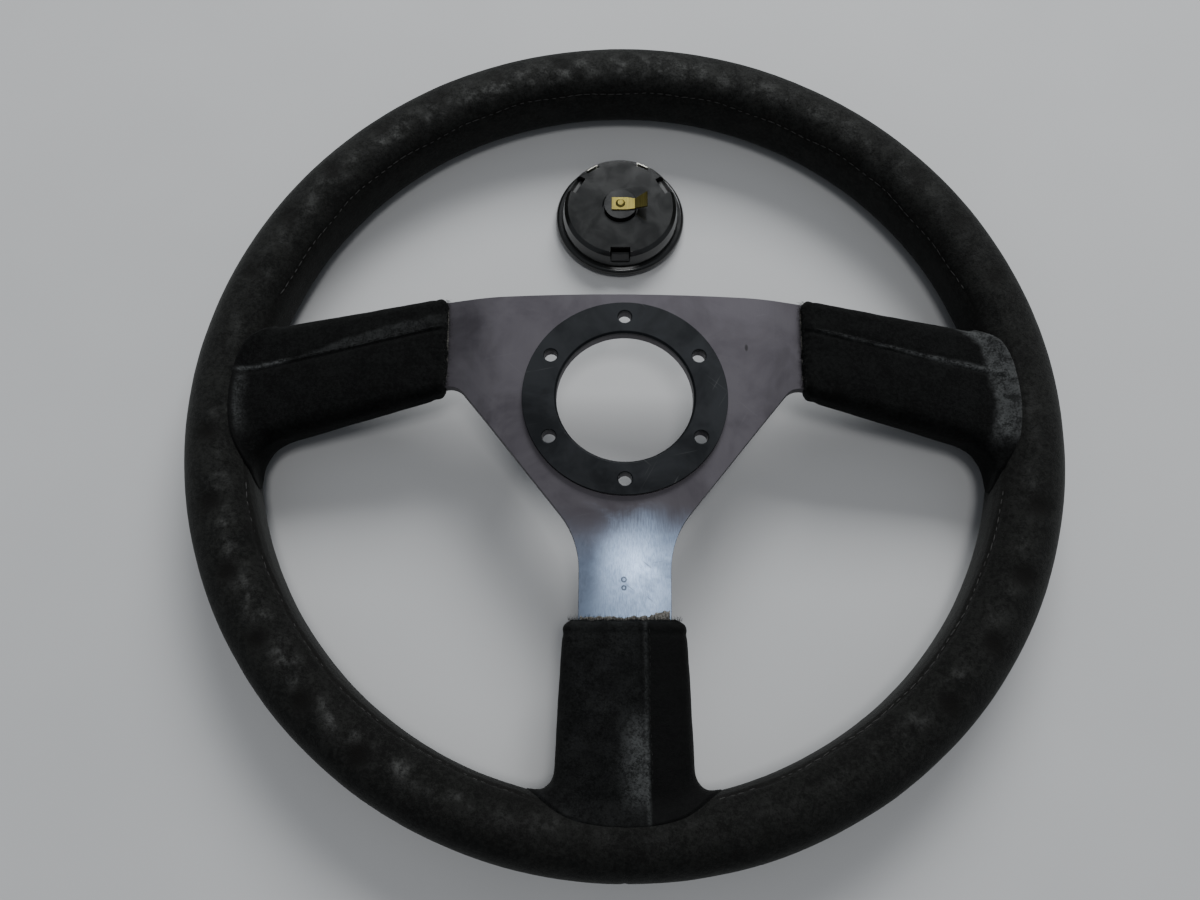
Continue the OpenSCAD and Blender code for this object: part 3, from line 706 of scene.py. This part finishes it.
def rim_skin(name, start, stop, node, start_groove=0.03, stop_groove=0.03):
    """One length of the rim's suede, from spoke to spoke, with its seam, finger marks and worn nap."""
    ends = math.radians(start), math.radians(stop)
    rows = int((ends[1] - ends[0]) * RING_R / RIM_STEP)
    sections = np.arange(RIM_COLS) * 2 * math.pi / RIM_COLS
    theta, phi = (grid.ravel() for grid in np.meshgrid(np.linspace(*ends, rows), sections, indexing="ij"))
    base = rim_point(theta, phi)
    turn, section = np.degrees(theta), np.degrees(phi)
    fingers = finger_marks(turn, section)
    seam = np.radians(section - SEAM_ANGLE) * GRIP_R - seam_wander(turn)
    groove = bump_at(seam, 0, 0.75 * MM)
    ridge = bump_at(seam, 1.5 * MM, 1.0 * MM) * 0.5 + bump_at(seam, -1.3 * MM, 1.0 * MM) * 0.3
    pucker = bump_at(seam, 0, 3.0 * MM) * np.sin(np.radians(turn) * RING_R / (1.05 * MM)) * 0.05
    soft = coarse_noise(base, 26, 1)
    fine = coarse_noise(base, 7, 2)
    lift = (-0.85 * fingers - 0.42 * groove + 0.35 * ridge + pucker + 0.16 * soft + 0.05 * fine) * MM
    for from_end, depth in ((theta - ends[0], start_groove), (ends[1] - theta, stop_groove)):
        lift -= depth * MM * bump_at(from_end * RING_R, 0, 0.9 * MM)
    # it lies flat and a little deeper under the pads' sewn edges, and flat on the floor
    arms = (SIDE_ARM_ANGLE, 180 - SIDE_ARM_ANGLE, -90, -180 - SIDE_ARM_ANGLE)
    away = np.minimum.reduce([np.abs(turn - arm) for arm in arms])
    under = smooth(15, 10, away) * smooth(112, 120, section) * smooth(248, 240, section)
    lift = lift * (1 - under) - 0.5 * MM * under
    lift -= np.maximum(lift, 0) * smooth(45, 20, np.abs(section - 270))
    wear_and_light, dirt_and_shade = rim_wear(base, turn, section, fingers, groove, soft)
    inner = rim_point(theta, phi, -(SUEDE_T - 0.05 * MM))
    obj = skin(name, rim_point(theta, phi, lift), inner, rows, 4, RIM_SUEDE,
               {"wear_and_light": wear_and_light, "dirt_and_shade": dirt_and_shade}, hub_end=False)
    obj.data.set_sharp_from_angle(angle=math.radians(60))
    declare(obj, "wheel", "rim_suede", node)


def rim_stitches():
    """The visible thread of the rim's seam, in three lengths between the spokes."""
    lines = []
    for start, stop in STITCHED:
        turn = np.arange(start, stop, 0.5)
        phi = math.radians(SEAM_ANGLE) + (seam_wander(turn) + 0.25 * MM) / GRIP_R
        sunk = 0.16 + 0.24 * smooth(190, 200, turn) * smooth(300, 285, turn)
        points = rim_point(np.radians(turn), phi, -sunk * MM)
        lines.append((points, rim_point(np.radians(turn), phi, 1.0) - rim_point(np.radians(turn), phi, 0.0)))
    obj = laid_row("rim_stitches", lines, STITCH_ROW, SEAM_THREAD, 3, Pitch=3.8 * MM, Length=2.8 * MM,
                   Thickness=0.44 * MM, Lean=0.12, Unevenness=0.35)
    declare(obj, "wheel", "thread", "rim_stitching")


# ---- pads


def edge_y(line, x):
    """How far to the left a line of a pad, given by two points in millimetres, is at x."""
    (x0, y0), (x1, y1) = line
    return y0 * MM + (x - x0 * MM) * (y1 - y0) / (x1 - x0)


class PadShape:
    """The solid shape of one pad, seen along its arm, and how it runs into the rim."""

    def __init__(self, pad):
        self.pad = pad
        self.tangent = math.tan(bend_angle(pad.bend_from * MM))
        self.start = pad.lower[0][0] * MM - PAD_SIDE_START
        (ux, uy), (lx, ly) = pad.upper[0], pad.lower[0]
        self.hub_x, self.hub_y = lx * MM, ly * MM
        self.hub_slope = (ux - lx) / (uy - ly)

    def hub_end(self, y):
        return self.hub_x + (y - self.hub_y) * self.hub_slope

    def middle_z(self, x):
        return RIM_MID_Z + (RING_R - x) * self.tangent

    def half_t(self, x):
        return PAD_T_HUB + (PAD_T_RIM - PAD_T_HUB) * (x - self.start) / (RING_R - self.start)

    def mid_y(self, x):
        return (edge_y(self.pad.upper, x) + edge_y(self.pad.lower, x)) / 2

    def half_w(self, x):
        return (edge_y(self.pad.upper, x) - edge_y(self.pad.lower, x)) / 2

    def pad_distance(self, p):
        x, y, z = p[:, 0], p[:, 1], p[:, 2]
        half_w, half_t = self.half_w(x), self.half_t(x)
        side = (y - self.mid_y(x)) / half_w
        half_t = half_t * (1.0 - PAD_CROWN * np.clip(np.abs(side), 0, 1) ** 3)
        r = PAD_ROUND * half_t
        ends = np.maximum(self.hub_end(y) - x, np.hypot(x, y) - (RING_R - 2 * MM))
        q = np.stack([ends, np.abs(y - self.mid_y(x)) - half_w, np.abs(z - self.middle_z(x)) - half_t], -1)
        q += r[:, None]
        return np.linalg.norm(np.maximum(q, 0), axis=1) + np.minimum(q.max(1), 0) - r

    def rim_distance(self, p):
        across = np.hypot(p[:, 0], p[:, 1]) - RING_R
        up = np.maximum(np.abs(p[:, 2] - RIM_MID_Z) - STRAIGHT, 0)
        return np.hypot(across, up) - GRIP_R

    def fillet(self, p):
        """How far the pad's skin is drawn into the rim: a little on its faces, more at its edges."""
        side = (p[:, 1] - self.mid_y(p[:, 0])) / self.half_w(p[:, 0])
        edge = np.where(side > 0, self.pad.fillets[0], self.pad.fillets[1]) * MM
        across = np.hypot(p[:, 0], p[:, 1]) - RING_R
        on_wall = smooth(-2 * MM, -11 * MM, across) * smooth(15 * MM, 8 * MM, np.abs(p[:, 2] - RIM_MID_Z))
        return FACE_FILLET + (edge - FACE_FILLET) * smooth(0.45, 1.0, np.abs(side)) * on_wall

    def distance(self, p):
        """How far outside the pad and the rim together each point is, with a soft join between them."""
        k = self.fillet(p)
        a, b = self.pad_distance(p), self.rim_distance(p)
        h = np.clip(0.5 + 0.5 * (b - a) / k, 0, 1)
        return b * (1 - h) + a * h - k * h * (1 - h)

    def hit(self, origin, direction):
        """Where rays from inside reach the skin."""
        far, near = np.full(len(origin), RAY_REACH), np.zeros(len(origin))
        found = np.zeros(len(origin), bool)
        for i in range(1, RAY_STEPS + 1):
            t = np.full(len(origin), RAY_REACH * i / RAY_STEPS)
            out = (self.distance(origin + direction * t[:, None]) > 0) & ~found
            far[out] = t[out]
            near[out] = t[out] - RAY_REACH / RAY_STEPS
            found |= out
        for _ in range(RAY_HALVINGS):
            t = (near + far) / 2
            out = self.distance(origin + direction * t[:, None]) > 0
            far = np.where(out, t, far)
            near = np.where(out, near, t)
        return origin + direction * far[:, None]

    def normal(self, p):
        step = 0.15 * MM
        n = np.stack([self.distance(p + way) - self.distance(p - way) for way in np.eye(3) * step], -1)
        return n / np.linalg.norm(n, axis=1)[:, None]


def stadium_path(half_w, half_t, count):
    """Evenly spaced points round a flat oval, as shares of its half width and half height."""
    side, arc = max(half_w - half_t, 0), math.pi * half_t
    s = (4 * side + 2 * arc) * np.arange(count) / count
    low = s - 2 * side - arc
    turn = math.pi / 2 + (np.clip(s - 2 * side, 0, arc) + np.clip(low - 2 * side, 0, arc)) / half_t
    middle = np.where(low < 0, np.clip(side - s, -side, side), np.clip(low - side, -side, side))
    return np.stack([middle + half_t * np.cos(turn), half_t * np.sin(turn)], -1) / (half_w, half_t)


def rays_at(shape, cols, x, tilt):
    """Rays from the middle of the arm at x, round the section, tilted back towards the hub by an angle."""
    half_w, half_t = shape.half_w(x), shape.half_t(x)
    path = stadium_path(half_w, half_t, cols)
    flat = np.stack([np.zeros(cols), path[:, 0] * half_w, path[:, 1] * half_t], -1)
    back = np.minimum(np.linalg.norm(flat, axis=1), RAY_BACK) * math.sin(tilt)
    ray = flat * math.cos(tilt) - back[:, None] * (1.0, 0, 0)
    origin = np.tile([x, shape.mid_y(x), shape.middle_z(x)], (cols, 1))
    return origin, ray / np.linalg.norm(ray, axis=1)[:, None]


def sewn_edge(shape, path):
    """Where each column's skin is sewn down: an arch over the inner side of the rim's crest."""
    side, height = path[:, 0], path[:, 1]
    wall = RING_R - GRIP_R
    fillet = np.where(side > 0, shape.pad.fillets[0], shape.pad.fillets[1]) * MM
    y = shape.mid_y(wall) + side * (shape.half_w(wall) + fillet * side ** 2)
    over = height * np.sqrt(np.clip(1 - np.abs(side) ** 3, 0, 1))
    return rim_point(np.arcsin(y / wall), math.pi - math.radians(SEWN_REACH) * over)


def corner_points(shape, path):
    """Where each column would meet the rim if it ran straight on."""
    x = np.full(len(path), RING_R - GRIP_R)
    for _ in range(4):
        y = shape.mid_y(x) + path[:, 0] * shape.half_w(x)
        z = shape.middle_z(x) + path[:, 1] * shape.half_t(x)
        up = np.clip(np.abs(z - RIM_MID_Z) - STRAIGHT, 0, GRIP_R * 0.95)
        x = np.sqrt((RING_R - np.sqrt(GRIP_R ** 2 - up ** 2)) ** 2 - y ** 2)
    return np.stack([x, y, z], -1)


def pad_points(shape, cols, hub_rows, arm_rows, rim_rows):
    """Points of the skin, row by row: round the hub end, along the arm and on to the sewn edge on the rim."""
    pad = shape.pad
    first = shape.hub_x + 7 * MM
    last = (pad.upper[1][0] + pad.lower[1][0]) / 2 * MM - 8 * MM
    tilts = [math.radians(90) * (1 - (i + 0.35) / hub_rows) for i in range(hub_rows)]
    rays = [rays_at(shape, cols, first, tilt) for tilt in tilts]
    rays += [rays_at(shape, cols, first + (last - first) * i / arm_rows, 0) for i in range(arm_rows + 1)]
    straight = shape.hit(np.vstack([r[0] for r in rays]), np.vstack([r[1] for r in rays]))
    start = straight[-cols:]
    path = stadium_path(shape.half_w(last), shape.half_t(last), cols)
    corner, end = corner_points(shape, path), sewn_edge(shape, path)
    share = (np.arange(1, rim_rows + 1) / rim_rows)[:, None, None]
    run = (1 - share) ** 2 * start + 2 * share * (1 - share) * corner + share ** 2 * end
    run = run.reshape(-1, 3)
    for _ in range(8):
        run = run - shape.distance(run)[:, None] * shape.normal(run)
    return np.vstack([straight, run]), len(rays) + rim_rows


def placed(points, place):
    """Turns a shape drawn along +X to its own arm, mirrored first where the place says so."""
    turn, mirror = place
    p = np.array(points, float)
    if mirror:
        p = p * (-1, 1, 1)
    c, s = math.cos(turn), math.sin(turn)
    return np.stack([p[:, 0] * c - p[:, 1] * s, p[:, 0] * s + p[:, 1] * c, p[:, 2]], -1)


def to_rim_edge(points, rows, cols):
    """How far each point is from its column's end on the rim."""
    grid = points.reshape(rows, cols, 3)
    step = np.linalg.norm(np.diff(grid, axis=0), axis=2)
    left = np.cumsum(step[::-1], axis=0)[::-1]
    return np.vstack([left, np.zeros((1, cols))]).ravel()


def swelling(hit, n, rows, held):
    """How far the foam presses the sleeve out between its sewn places, in metres, worked out as cloth."""
    cols = PAD_COLS
    picked = np.unique(np.linspace(0, rows - 1, CLOTH_ROWS).astype(int))
    pick = (picked[:, None] * cols + np.arange(0, cols, CLOTH_EVERY)[None, :]).ravel()
    wide = cols // CLOTH_EVERY
    faces = [f[::-1] for f in grid_faces(len(picked), wide, closed_cols=True)]
    obj = new_mesh("sleeve_cloth", hit[pick], faces, PAD_SUEDE)
    sewn = obj.vertex_groups.new(name="sewn")
    for i, weight in enumerate(held[pick]):
        sewn.add([i], float(weight), "REPLACE")
    cloth = obj.modifiers.new("cloth", "CLOTH")
    fabric = cloth.settings
    fabric.quality, fabric.mass, fabric.bending_stiffness = 6, 0.08, 0.4
    fabric.tension_stiffness, fabric.compression_stiffness = 12, 12
    fabric.use_pressure, fabric.uniform_pressure_force = True, CLOTH_PRESSURE
    fabric.effector_weights.gravity = 0
    fabric.vertex_group_mass = "sewn"
    cloth.point_cache.frame_start, cloth.point_cache.frame_end = 1, CLOTH_FRAMES
    for step in range(1, CLOTH_FRAMES + 1):
        bpy.context.scene.frame_set(step)
    blown = obj.evaluated_get(bpy.context.evaluated_depsgraph_get()).data
    moved = np.zeros(len(pick) * 3)
    blown.vertices.foreach_get("co", moved)
    out = ((moved.reshape(-1, 3) - hit[pick]) * n[pick]).sum(1)
    bpy.data.objects.remove(obj)
    bpy.context.scene.frame_set(1)
    out = np.clip(out, -0.3 * MM, CLOTH_CAP).reshape(len(picked), wide)
    around = np.hstack([out, out[:, :1]])
    fine = np.stack([np.interp(np.arange(cols), np.arange(wide + 1) * CLOTH_EVERY, row) for row in around])
    return np.stack([np.interp(np.arange(rows), picked, column) for column in fine.T], 1).ravel()


# A sleeve's points: along and across their arm, how much they look up, how far they are from the sewn edge,
# from the lap and from the hub end, all in millimetres, and the points themselves
At = namedtuple("At", "x y top edge lap hem points")


def sleeve_relief(at, swell):
    """How far a sleeve's skin stands off its plain shape, in millimetres."""
    on_pad = smooth(2, 8, at.edge)
    soft = coarse_noise(at.points, 16, 5)
    fine = coarse_noise(at.points, 5, 6)
    lift = (0.16 * soft + 0.08 * fine) * on_pad + swell
    # it is pulled in beside its lapped seam, and the edge on top stands proud
    proud = smooth(-0.5, 0.4, at.lap) * (1 - smooth(3, 9, at.lap))
    lift += at.top * on_pad * (0.45 * proud - 0.25 * bump_at(at.lap, -0.9, 0.9))
    # turned hem at the hub end, a little crumpled and cut unevenly
    ripple = np.sin(at.y / 2.4 * 2 * math.pi + 2 * np.sin(at.y / 9))
    lift += 0.35 * bump_at(at.hem, 2.2, 1.6) - 0.28 * bump_at(at.hem, 5.2, 1.2)
    crumple = coarse_noise(at.points, 2.6, 9)
    lift += (0.05 * ripple + 0.32 * crumple) * bump_at(at.hem, 2.4, 3.0)
    ragged = coarse_noise(at.points, 1.6, 13)
    lift += (0.5 * ragged + 0.5 * crumple) * smooth(1.0, 0.1, at.hem)
    # the sewn edge lies on the rim's suede, and then dips under it
    return lift + (0.30 * smooth(7, 1.5, at.edge) - 1.1 * smooth(1.2, 0, at.edge))


def pad_skin(name, pad, node, place, wear):
    """One spoke's suede sleeve over its foam."""
    shape = PadShape(pad)
    hit, rows = pad_points(shape, PAD_COLS, 26, 84, 34)
    n = shape.normal(hit)
    x, y = hit[:, 0], hit[:, 1]
    at = At(x / MM, y / MM, smooth(0.2, 0.7, n[:, 2]), to_rim_edge(hit, rows, PAD_COLS) / MM,
            (y - edge_y(pad.lap, x)) / MM, (x - shape.hub_end(y)) / MM, hit)
    sewn_lap = 0.9 * at.top * bump_at(at.lap, 0, 1.6)
    held = np.maximum.reduce([smooth(4, 1.5, at.edge), smooth(5, 2, at.hem), sewn_lap])
    lift = sleeve_relief(at, swelling(hit, n, rows, held) / MM)
    wear_and_light, dirt_and_shade = (np.clip(mask, 0, 1) for mask in wear(at))
    outer = placed(hit + n * (lift * MM)[:, None], place)
    obj = skin(name, outer, placed(hit - n * SUEDE_T, place), rows, 3, PAD_SUEDE,
               {"wear_and_light": wear_and_light, "dirt_and_shade": dirt_and_shade}, hub_end=True)
    declare(obj, "wheel", "pad_suede", node)


def pad_core(name, pad, node, place):
    """The foam under a sleeve: the sleeve's own shape, a little smaller."""
    shape, cols = PadShape(pad), CORE_COLS
    hit, rows = pad_points(shape, cols, 8, 26, 10)
    points = hit - shape.normal(hit) * (SUEDE_T + 0.1 * MM)
    faces = [f[::-1] for f in grid_faces(rows, cols, closed_cols=True)]
    faces += [tuple(range(cols - 1, -1, -1)), tuple((rows - 1) * cols + j for j in range(cols))]
    obj = outward(new_mesh(name, placed(points, place), faces, FOAM))
    declare(obj, "wheel", "foam", node)


def on_pad_face(pad, x, y, lift):
    """Points on a pad's rear face, and the way outwards there."""
    shape = PadShape(pad)
    origin = np.stack([x, y, shape.middle_z(x)], -1)
    hit = shape.hit(origin, np.tile([0, 0, 1.0], (len(x), 1)))
    n = shape.normal(hit)
    return hit + n * lift, n


def pad_stitches():
    """The thread of the lapped seam on the rear of each pad."""
    lines = []
    for pad, place, _ in PADS.values():
        first, last = pad.lap[0][0] + 1, pad.lap[1][0] - 3
        x = np.linspace(first, last, 60) * MM
        y = edge_y(pad.lap, x) + 0.9 * MM + 0.25 * MM * np.sin(x / (7 * MM))
        points, n = on_pad_face(pad, x, y, 0.52 * MM)
        lines.append((placed(points, place), placed(n, place)))
    obj = laid_row("pad_stitches", lines, STITCH_ROW, PAD_THREAD, 5, Pitch=3.1 * MM, Length=2.0 * MM,
                   Thickness=0.36 * MM, Lean=0.12, Unevenness=0.3)
    declare(obj, "wheel", "thread", "pad_stitching")


# Rows of loose fibres: how far in from the cut end, how high, and how much they lean up
FRAYED_ROWS = ((0.3, 3.4, -0.5), (0.5, 4.4, -0.2), (0.8, 5.2, 0.25))


def frayed_ends():
    """Short loose fibres of suede along the cut end of each pad."""
    lines = []
    for pad, place, _ in PADS.values():
        shape = PadShape(pad)
        y = np.linspace(pad.lower[0][1] + 2.0, pad.upper[0][1] - 2.0, 120) * MM
        for inset, lift, lean in FRAYED_ROWS:
            x = shape.hub_end(y) + inset * MM
            z = shape.middle_z(x) + lift * MM
            stray = noise_at(np.stack([x, y, z], -1), 3, 11)
            points = np.stack([x + 0.3 * MM * stray, y, z], -1)
            ups = np.tile([-1.0, 0, lean], (len(x), 1))
            lines.append((placed(points, place), placed(ups, place)))
    obj = laid_row("frayed_ends", lines, FIBRE_ROW, LAP_SUEDE, 8, Pitch=0.42 * MM, Length=1.8 * MM,
                   Thickness=0.14 * MM, Lean=0.55, Unevenness=0.5)
    declare(obj, "wheel", "pad_suede")


def glue_strip(name, pad, place, seed):
    """A thin ragged strip of old glue on the plate in front of a pad's cut end, thicker towards one side."""
    count, steps, under_pad = 160, 6, 1.2 * MM
    shape = PadShape(pad)
    y = np.linspace(*pad.glue.span, count) * MM
    x = shape.hub_end(y) + under_pad
    flat = x * 0
    edge = np.stack([x, y, flat], -1)
    reach = 0.62 + 0.30 * noise_at(edge, 5, seed) + 0.35 * noise_at(edge, 1.4, seed + 1)
    width = pad.glue.width + pad.glue.heap * smooth(6 * MM, 15 * MM, y)
    reach = np.clip(reach, 0.12, 1.2) * width * MM + under_pad
    rows = []
    for i in range(steps):
        share = i / (steps - 1)
        out = x - reach * share
        height = 0.16 * MM * (1 - share ** 2) + 0.02 * MM
        plate = shape.middle_z(out) + PLATE_T / 2 * math.hypot(1, shape.tangent)
        lumps = 0.7 + 0.5 * noise_at(np.stack([out, y, flat], -1), 1, seed)
        rows.append(np.stack([out, y, plate + height * lumps], -1))
    for row in rows[::-1]:
        rows.append(row * (1, 1, 0) + np.stack([flat, flat, shape.middle_z(row[:, 0]) + 1.6 * MM], -1))
    faces = grid_faces(len(rows), count, closed_rows=True)
    ends = [i * count for i in range(len(rows))]
    faces += [tuple(ends), tuple(i + count - 1 for i in ends)[::-1]]
    obj = outward(new_mesh(name, placed(np.concatenate(rows), place), faces, GLUE))
    declare(obj, "wheel", "pad_suede")


def right_wear(at):
    """Dusty band where the right pad meets the rim, and a thin broken line along the lap."""
    x, p = at.x, at.points
    broken = 0.5 + 0.5 * coarse_noise(p, 6, 8)
    across = 8.0 + 2.6 * coarse_noise(p, 14, 12) + 1.6 * coarse_noise(p, 3, 16)
    band = smooth(across + 4.5, across, at.edge) * at.top * smooth(-19, -9, at.y)
    stray = 0.7 * coarse_noise(p, 9, 18)
    line = bump_at(at.lap, 0.5 + stray, 0.6 + 0.5 * smooth(120, 143, x))
    line = line * at.top * (0.45 + 0.55 * smooth(95, 140, x))
    wear_and_light = 1.05 * band * (0.6 + 0.4 * broken) + line * (0.4 + broken) * 1.15 * smooth(77, 84, x)
    return wear_and_light, 0.4 * smooth(3, 0, at.hem)


def left_wear(at):
    """Lighter lap, a rubbed blue-grey patch under it, and a crease at the rim painted in as dark shade."""
    x, y, top, p = at.x, at.y, at.top, at.points
    broad = 0.9 + 5 * smooth(142, 92, x)
    ragged = 1.1 * coarse_noise(p, 5, 14)
    lap = smooth(0, 0.5, at.lap) * smooth(broad + 1.2, broad - 0.6, at.lap + ragged) * top
    lap = lap * (0.45 + 0.55 * smooth(78, 96, x)) * (0.7 + 0.4 * coarse_noise(p, 8, 15))
    patch = smooth(9, 3, at.edge) * smooth(17, 8, y) * smooth(-17, -6, y) * top
    # painted shade: a dark line where the skin creases at the rim, with no crease in the shape
    painted_crease_shade = bump_at(at.edge, 1.0, 1.3) * smooth(18, 14, y) * top
    bright = bump_at(at.lap, 0.6, 0.7) * smooth(138, 144, x) * top
    wear_and_light = 0.42 * lap + 0.55 * patch * (1 - painted_crease_shade) + 0.9 * bright
    return wear_and_light, 0.8 * painted_crease_shade + 0.3 * bump_at(at.lap, -0.8, 1.2) * top


def bottom_wear(at):
    """A lighter patch beside the lap near the rim, and one side darker than the other."""
    x, top, lap = at.x, at.top, at.lap
    patch = smooth(0.8, -0.5, lap) * smooth(-13, -4, lap)
    patch = patch * smooth(118, 134, x) * (1 - smooth(150, 158, x)) * top
    line = bump_at(lap, -0.4, 0.8) * top * 0.4
    dust = (0.10 + 0.10 * coarse_noise(at.points, 9, 17)) * top * smooth(0, -4, lap)
    return 0.75 * patch + line + dust, 0.65 * smooth(0.2, 1.2, lap) * top


# ---- hard parts


def softened(name, node, material, body, slot, width):
    """A CAD part's own shape with its sharp edges broken, as a stamped or moulded part's are."""
    bm = bmesh.new()
    bm.from_mesh(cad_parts[node].data)
    bmesh.ops.remove_doubles(bm, verts=bm.verts, dist=1e-6)
    bmesh.ops.dissolve_limit(bm, angle_limit=math.radians(0.4), verts=bm.verts, edges=bm.edges)
    mesh = bpy.data.meshes.new(name)
    bm.to_mesh(mesh)
    bm.free()
    obj = in_scene(name, mesh)
    mesh.materials.clear()
    mesh.materials.append(material)
    mesh.polygons.foreach_set("use_smooth", [True] * len(mesh.polygons))
    bevel = obj.modifiers.new("bevel", "BEVEL")
    bevel.width, bevel.segments = width, 2
    bevel.limit_method, bevel.angle_limit = "ANGLE", math.radians(28)
    bevel.use_clamp_overlap, bevel.harden_normals = True, False
    obj.modifiers.new("weighted", "WEIGHTED_NORMAL").keep_sharp = True
    declare(finished(obj), body, slot, node)


def coil_spring():
    """The horn's coil: one end at the cap's disc and the other under the ground ring."""
    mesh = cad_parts["return_spring"].data.copy()
    mesh.materials.clear()
    mesh.materials.append(STEEL)
    obj = outward(in_scene("coil_spring", mesh))
    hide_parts("return_spring")
    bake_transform(obj)


# ---- build

# Each pad's shape, its place as its turn round the wheel and whether it is mirrored, and its wear
PADS = {
    "right": (SIDE_PAD, (0, False), right_wear),
    "left": (SIDE_PAD, (0, True), left_wear),
    "bottom": (BOTTOM_PAD, (-math.pi / 2, False), bottom_wear),
}
# Parts that show the CAD's own shape in a better finish
FINISHES = {
    "horn_cap": CAP, "cap_badge": BADGE, "terminal_boss": BOSS, "horn_terminal": BRASS,
    "terminal_rivet": BRASS, "contact_disc": BRASS, "ground_ring": BRASS, "bore_springs": TIN,
    "rim_core": STEEL, "spoke_rivets": RIVET, "rim_foam": FOAM,
}


def build_rim():
    rim_stitches()
    rim_skin("rim_suede_top", SIDE_ARM_ANGLE, 180 - SIDE_ARM_ANGLE, "rim_cover_top")
    rim_skin("rim_suede_left", -180 - SIDE_ARM_ANGLE, -90, "rim_cover_left", stop_groove=0.30)
    rim_skin("rim_suede_right", -90, SIDE_ARM_ANGLE, "rim_cover_right", start_groove=0.30)


def build_pads():
    for side, (pad, place, wear) in PADS.items():
        pad_skin("pad_suede_" + side, pad, "pad_cover_" + side, place, wear)
        pad_core("pad_core_" + side, pad, "pad_foam_" + side, place)
        glue_strip("old_glue_" + side, pad, place, len(side))
    pad_stitches()
    frayed_ends()


def build_hard_parts():
    softened("stamped_plate", "spoke_plate", PLATE, "wheel", "anodised_plate", 0.3 * MM)
    softened("black_hub_ring", "hub_ring", RING, "wheel", "black_ring", 0.15 * MM)
    softened("moulded_housing", "horn_housing", GLOSS, "horn_button", "gloss_black", 0.25 * MM)
    softened("moulded_bezel", "horn_bezel", GLOSS, "horn_button", "gloss_black", 0.25 * MM)
    coil_spring()
    for node, material in FINISHES.items():
        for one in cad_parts[node].material_slots:
            one.material = material


# ---- stage


def build_camera():
    data = bpy.data.cameras.new("camera")
    data.sensor_width, data.lens = 36, 29.19
    camera = in_scene("camera", data)
    camera.location = (-0.0091, -0.1448, 0.3642)
    camera.rotation_euler = (math.radians(18.45), 0, math.radians(0.37))
    data.clip_start, data.clip_end = 0.01, 20
    bpy.context.scene.camera = camera


def build_floor():
    material, w = new_material("pale_floor", Roughness=0.75, Specular_IOR_Level=0.3)
    colour = w.mix(w.noise(w.place(), 9.0, 3.0), grey(0.50, (1, 1.005, 1.01)), grey(0.56))
    w.feed(w.tree.nodes["Principled BSDF"].inputs["Base Color"], colour)
    corners = [(x * FLOOR_HALF, y * FLOOR_HALF, FLOOR_Z) for x, y in ((-1, -1), (1, -1), (1, 1), (-1, 1))]
    new_mesh("floor", corners, [(0, 1, 2, 3)], material)


def area_light(name, place, target, size, power, colour=(1, 1, 1)):
    data = bpy.data.lights.new(name, "AREA")
    data.shape, data.size, data.size_y = "RECTANGLE", size[0], size[1]
    data.energy, data.color = power, colour
    light = in_scene(name, data)
    light.location = place
    light.rotation_euler = (Vector(target) - Vector(place)).to_track_quat("-Z", "Y").to_euler()


def build_lights():
    area_light("far_window", (0.35, 1.7, 1.25), (0, 0.05, 0), (1.3, 0.8), 48, (0.97, 0.99, 1))
    area_light("overhead", (0.10, -0.26, 1.55), (0, 0, 0), (0.42, 0.30), 6)
    world = bpy.data.worlds.new("studio")
    world.use_nodes = True
    background = world.node_tree.nodes["Background"].inputs
    background["Color"].default_value = (0.86, 0.92, 1.0, 1)
    background["Strength"].default_value = 0.28
    bpy.context.scene.world = world


build_camera()
build_rim()
build_pads()
build_hard_parts()
build_floor()
build_lights()
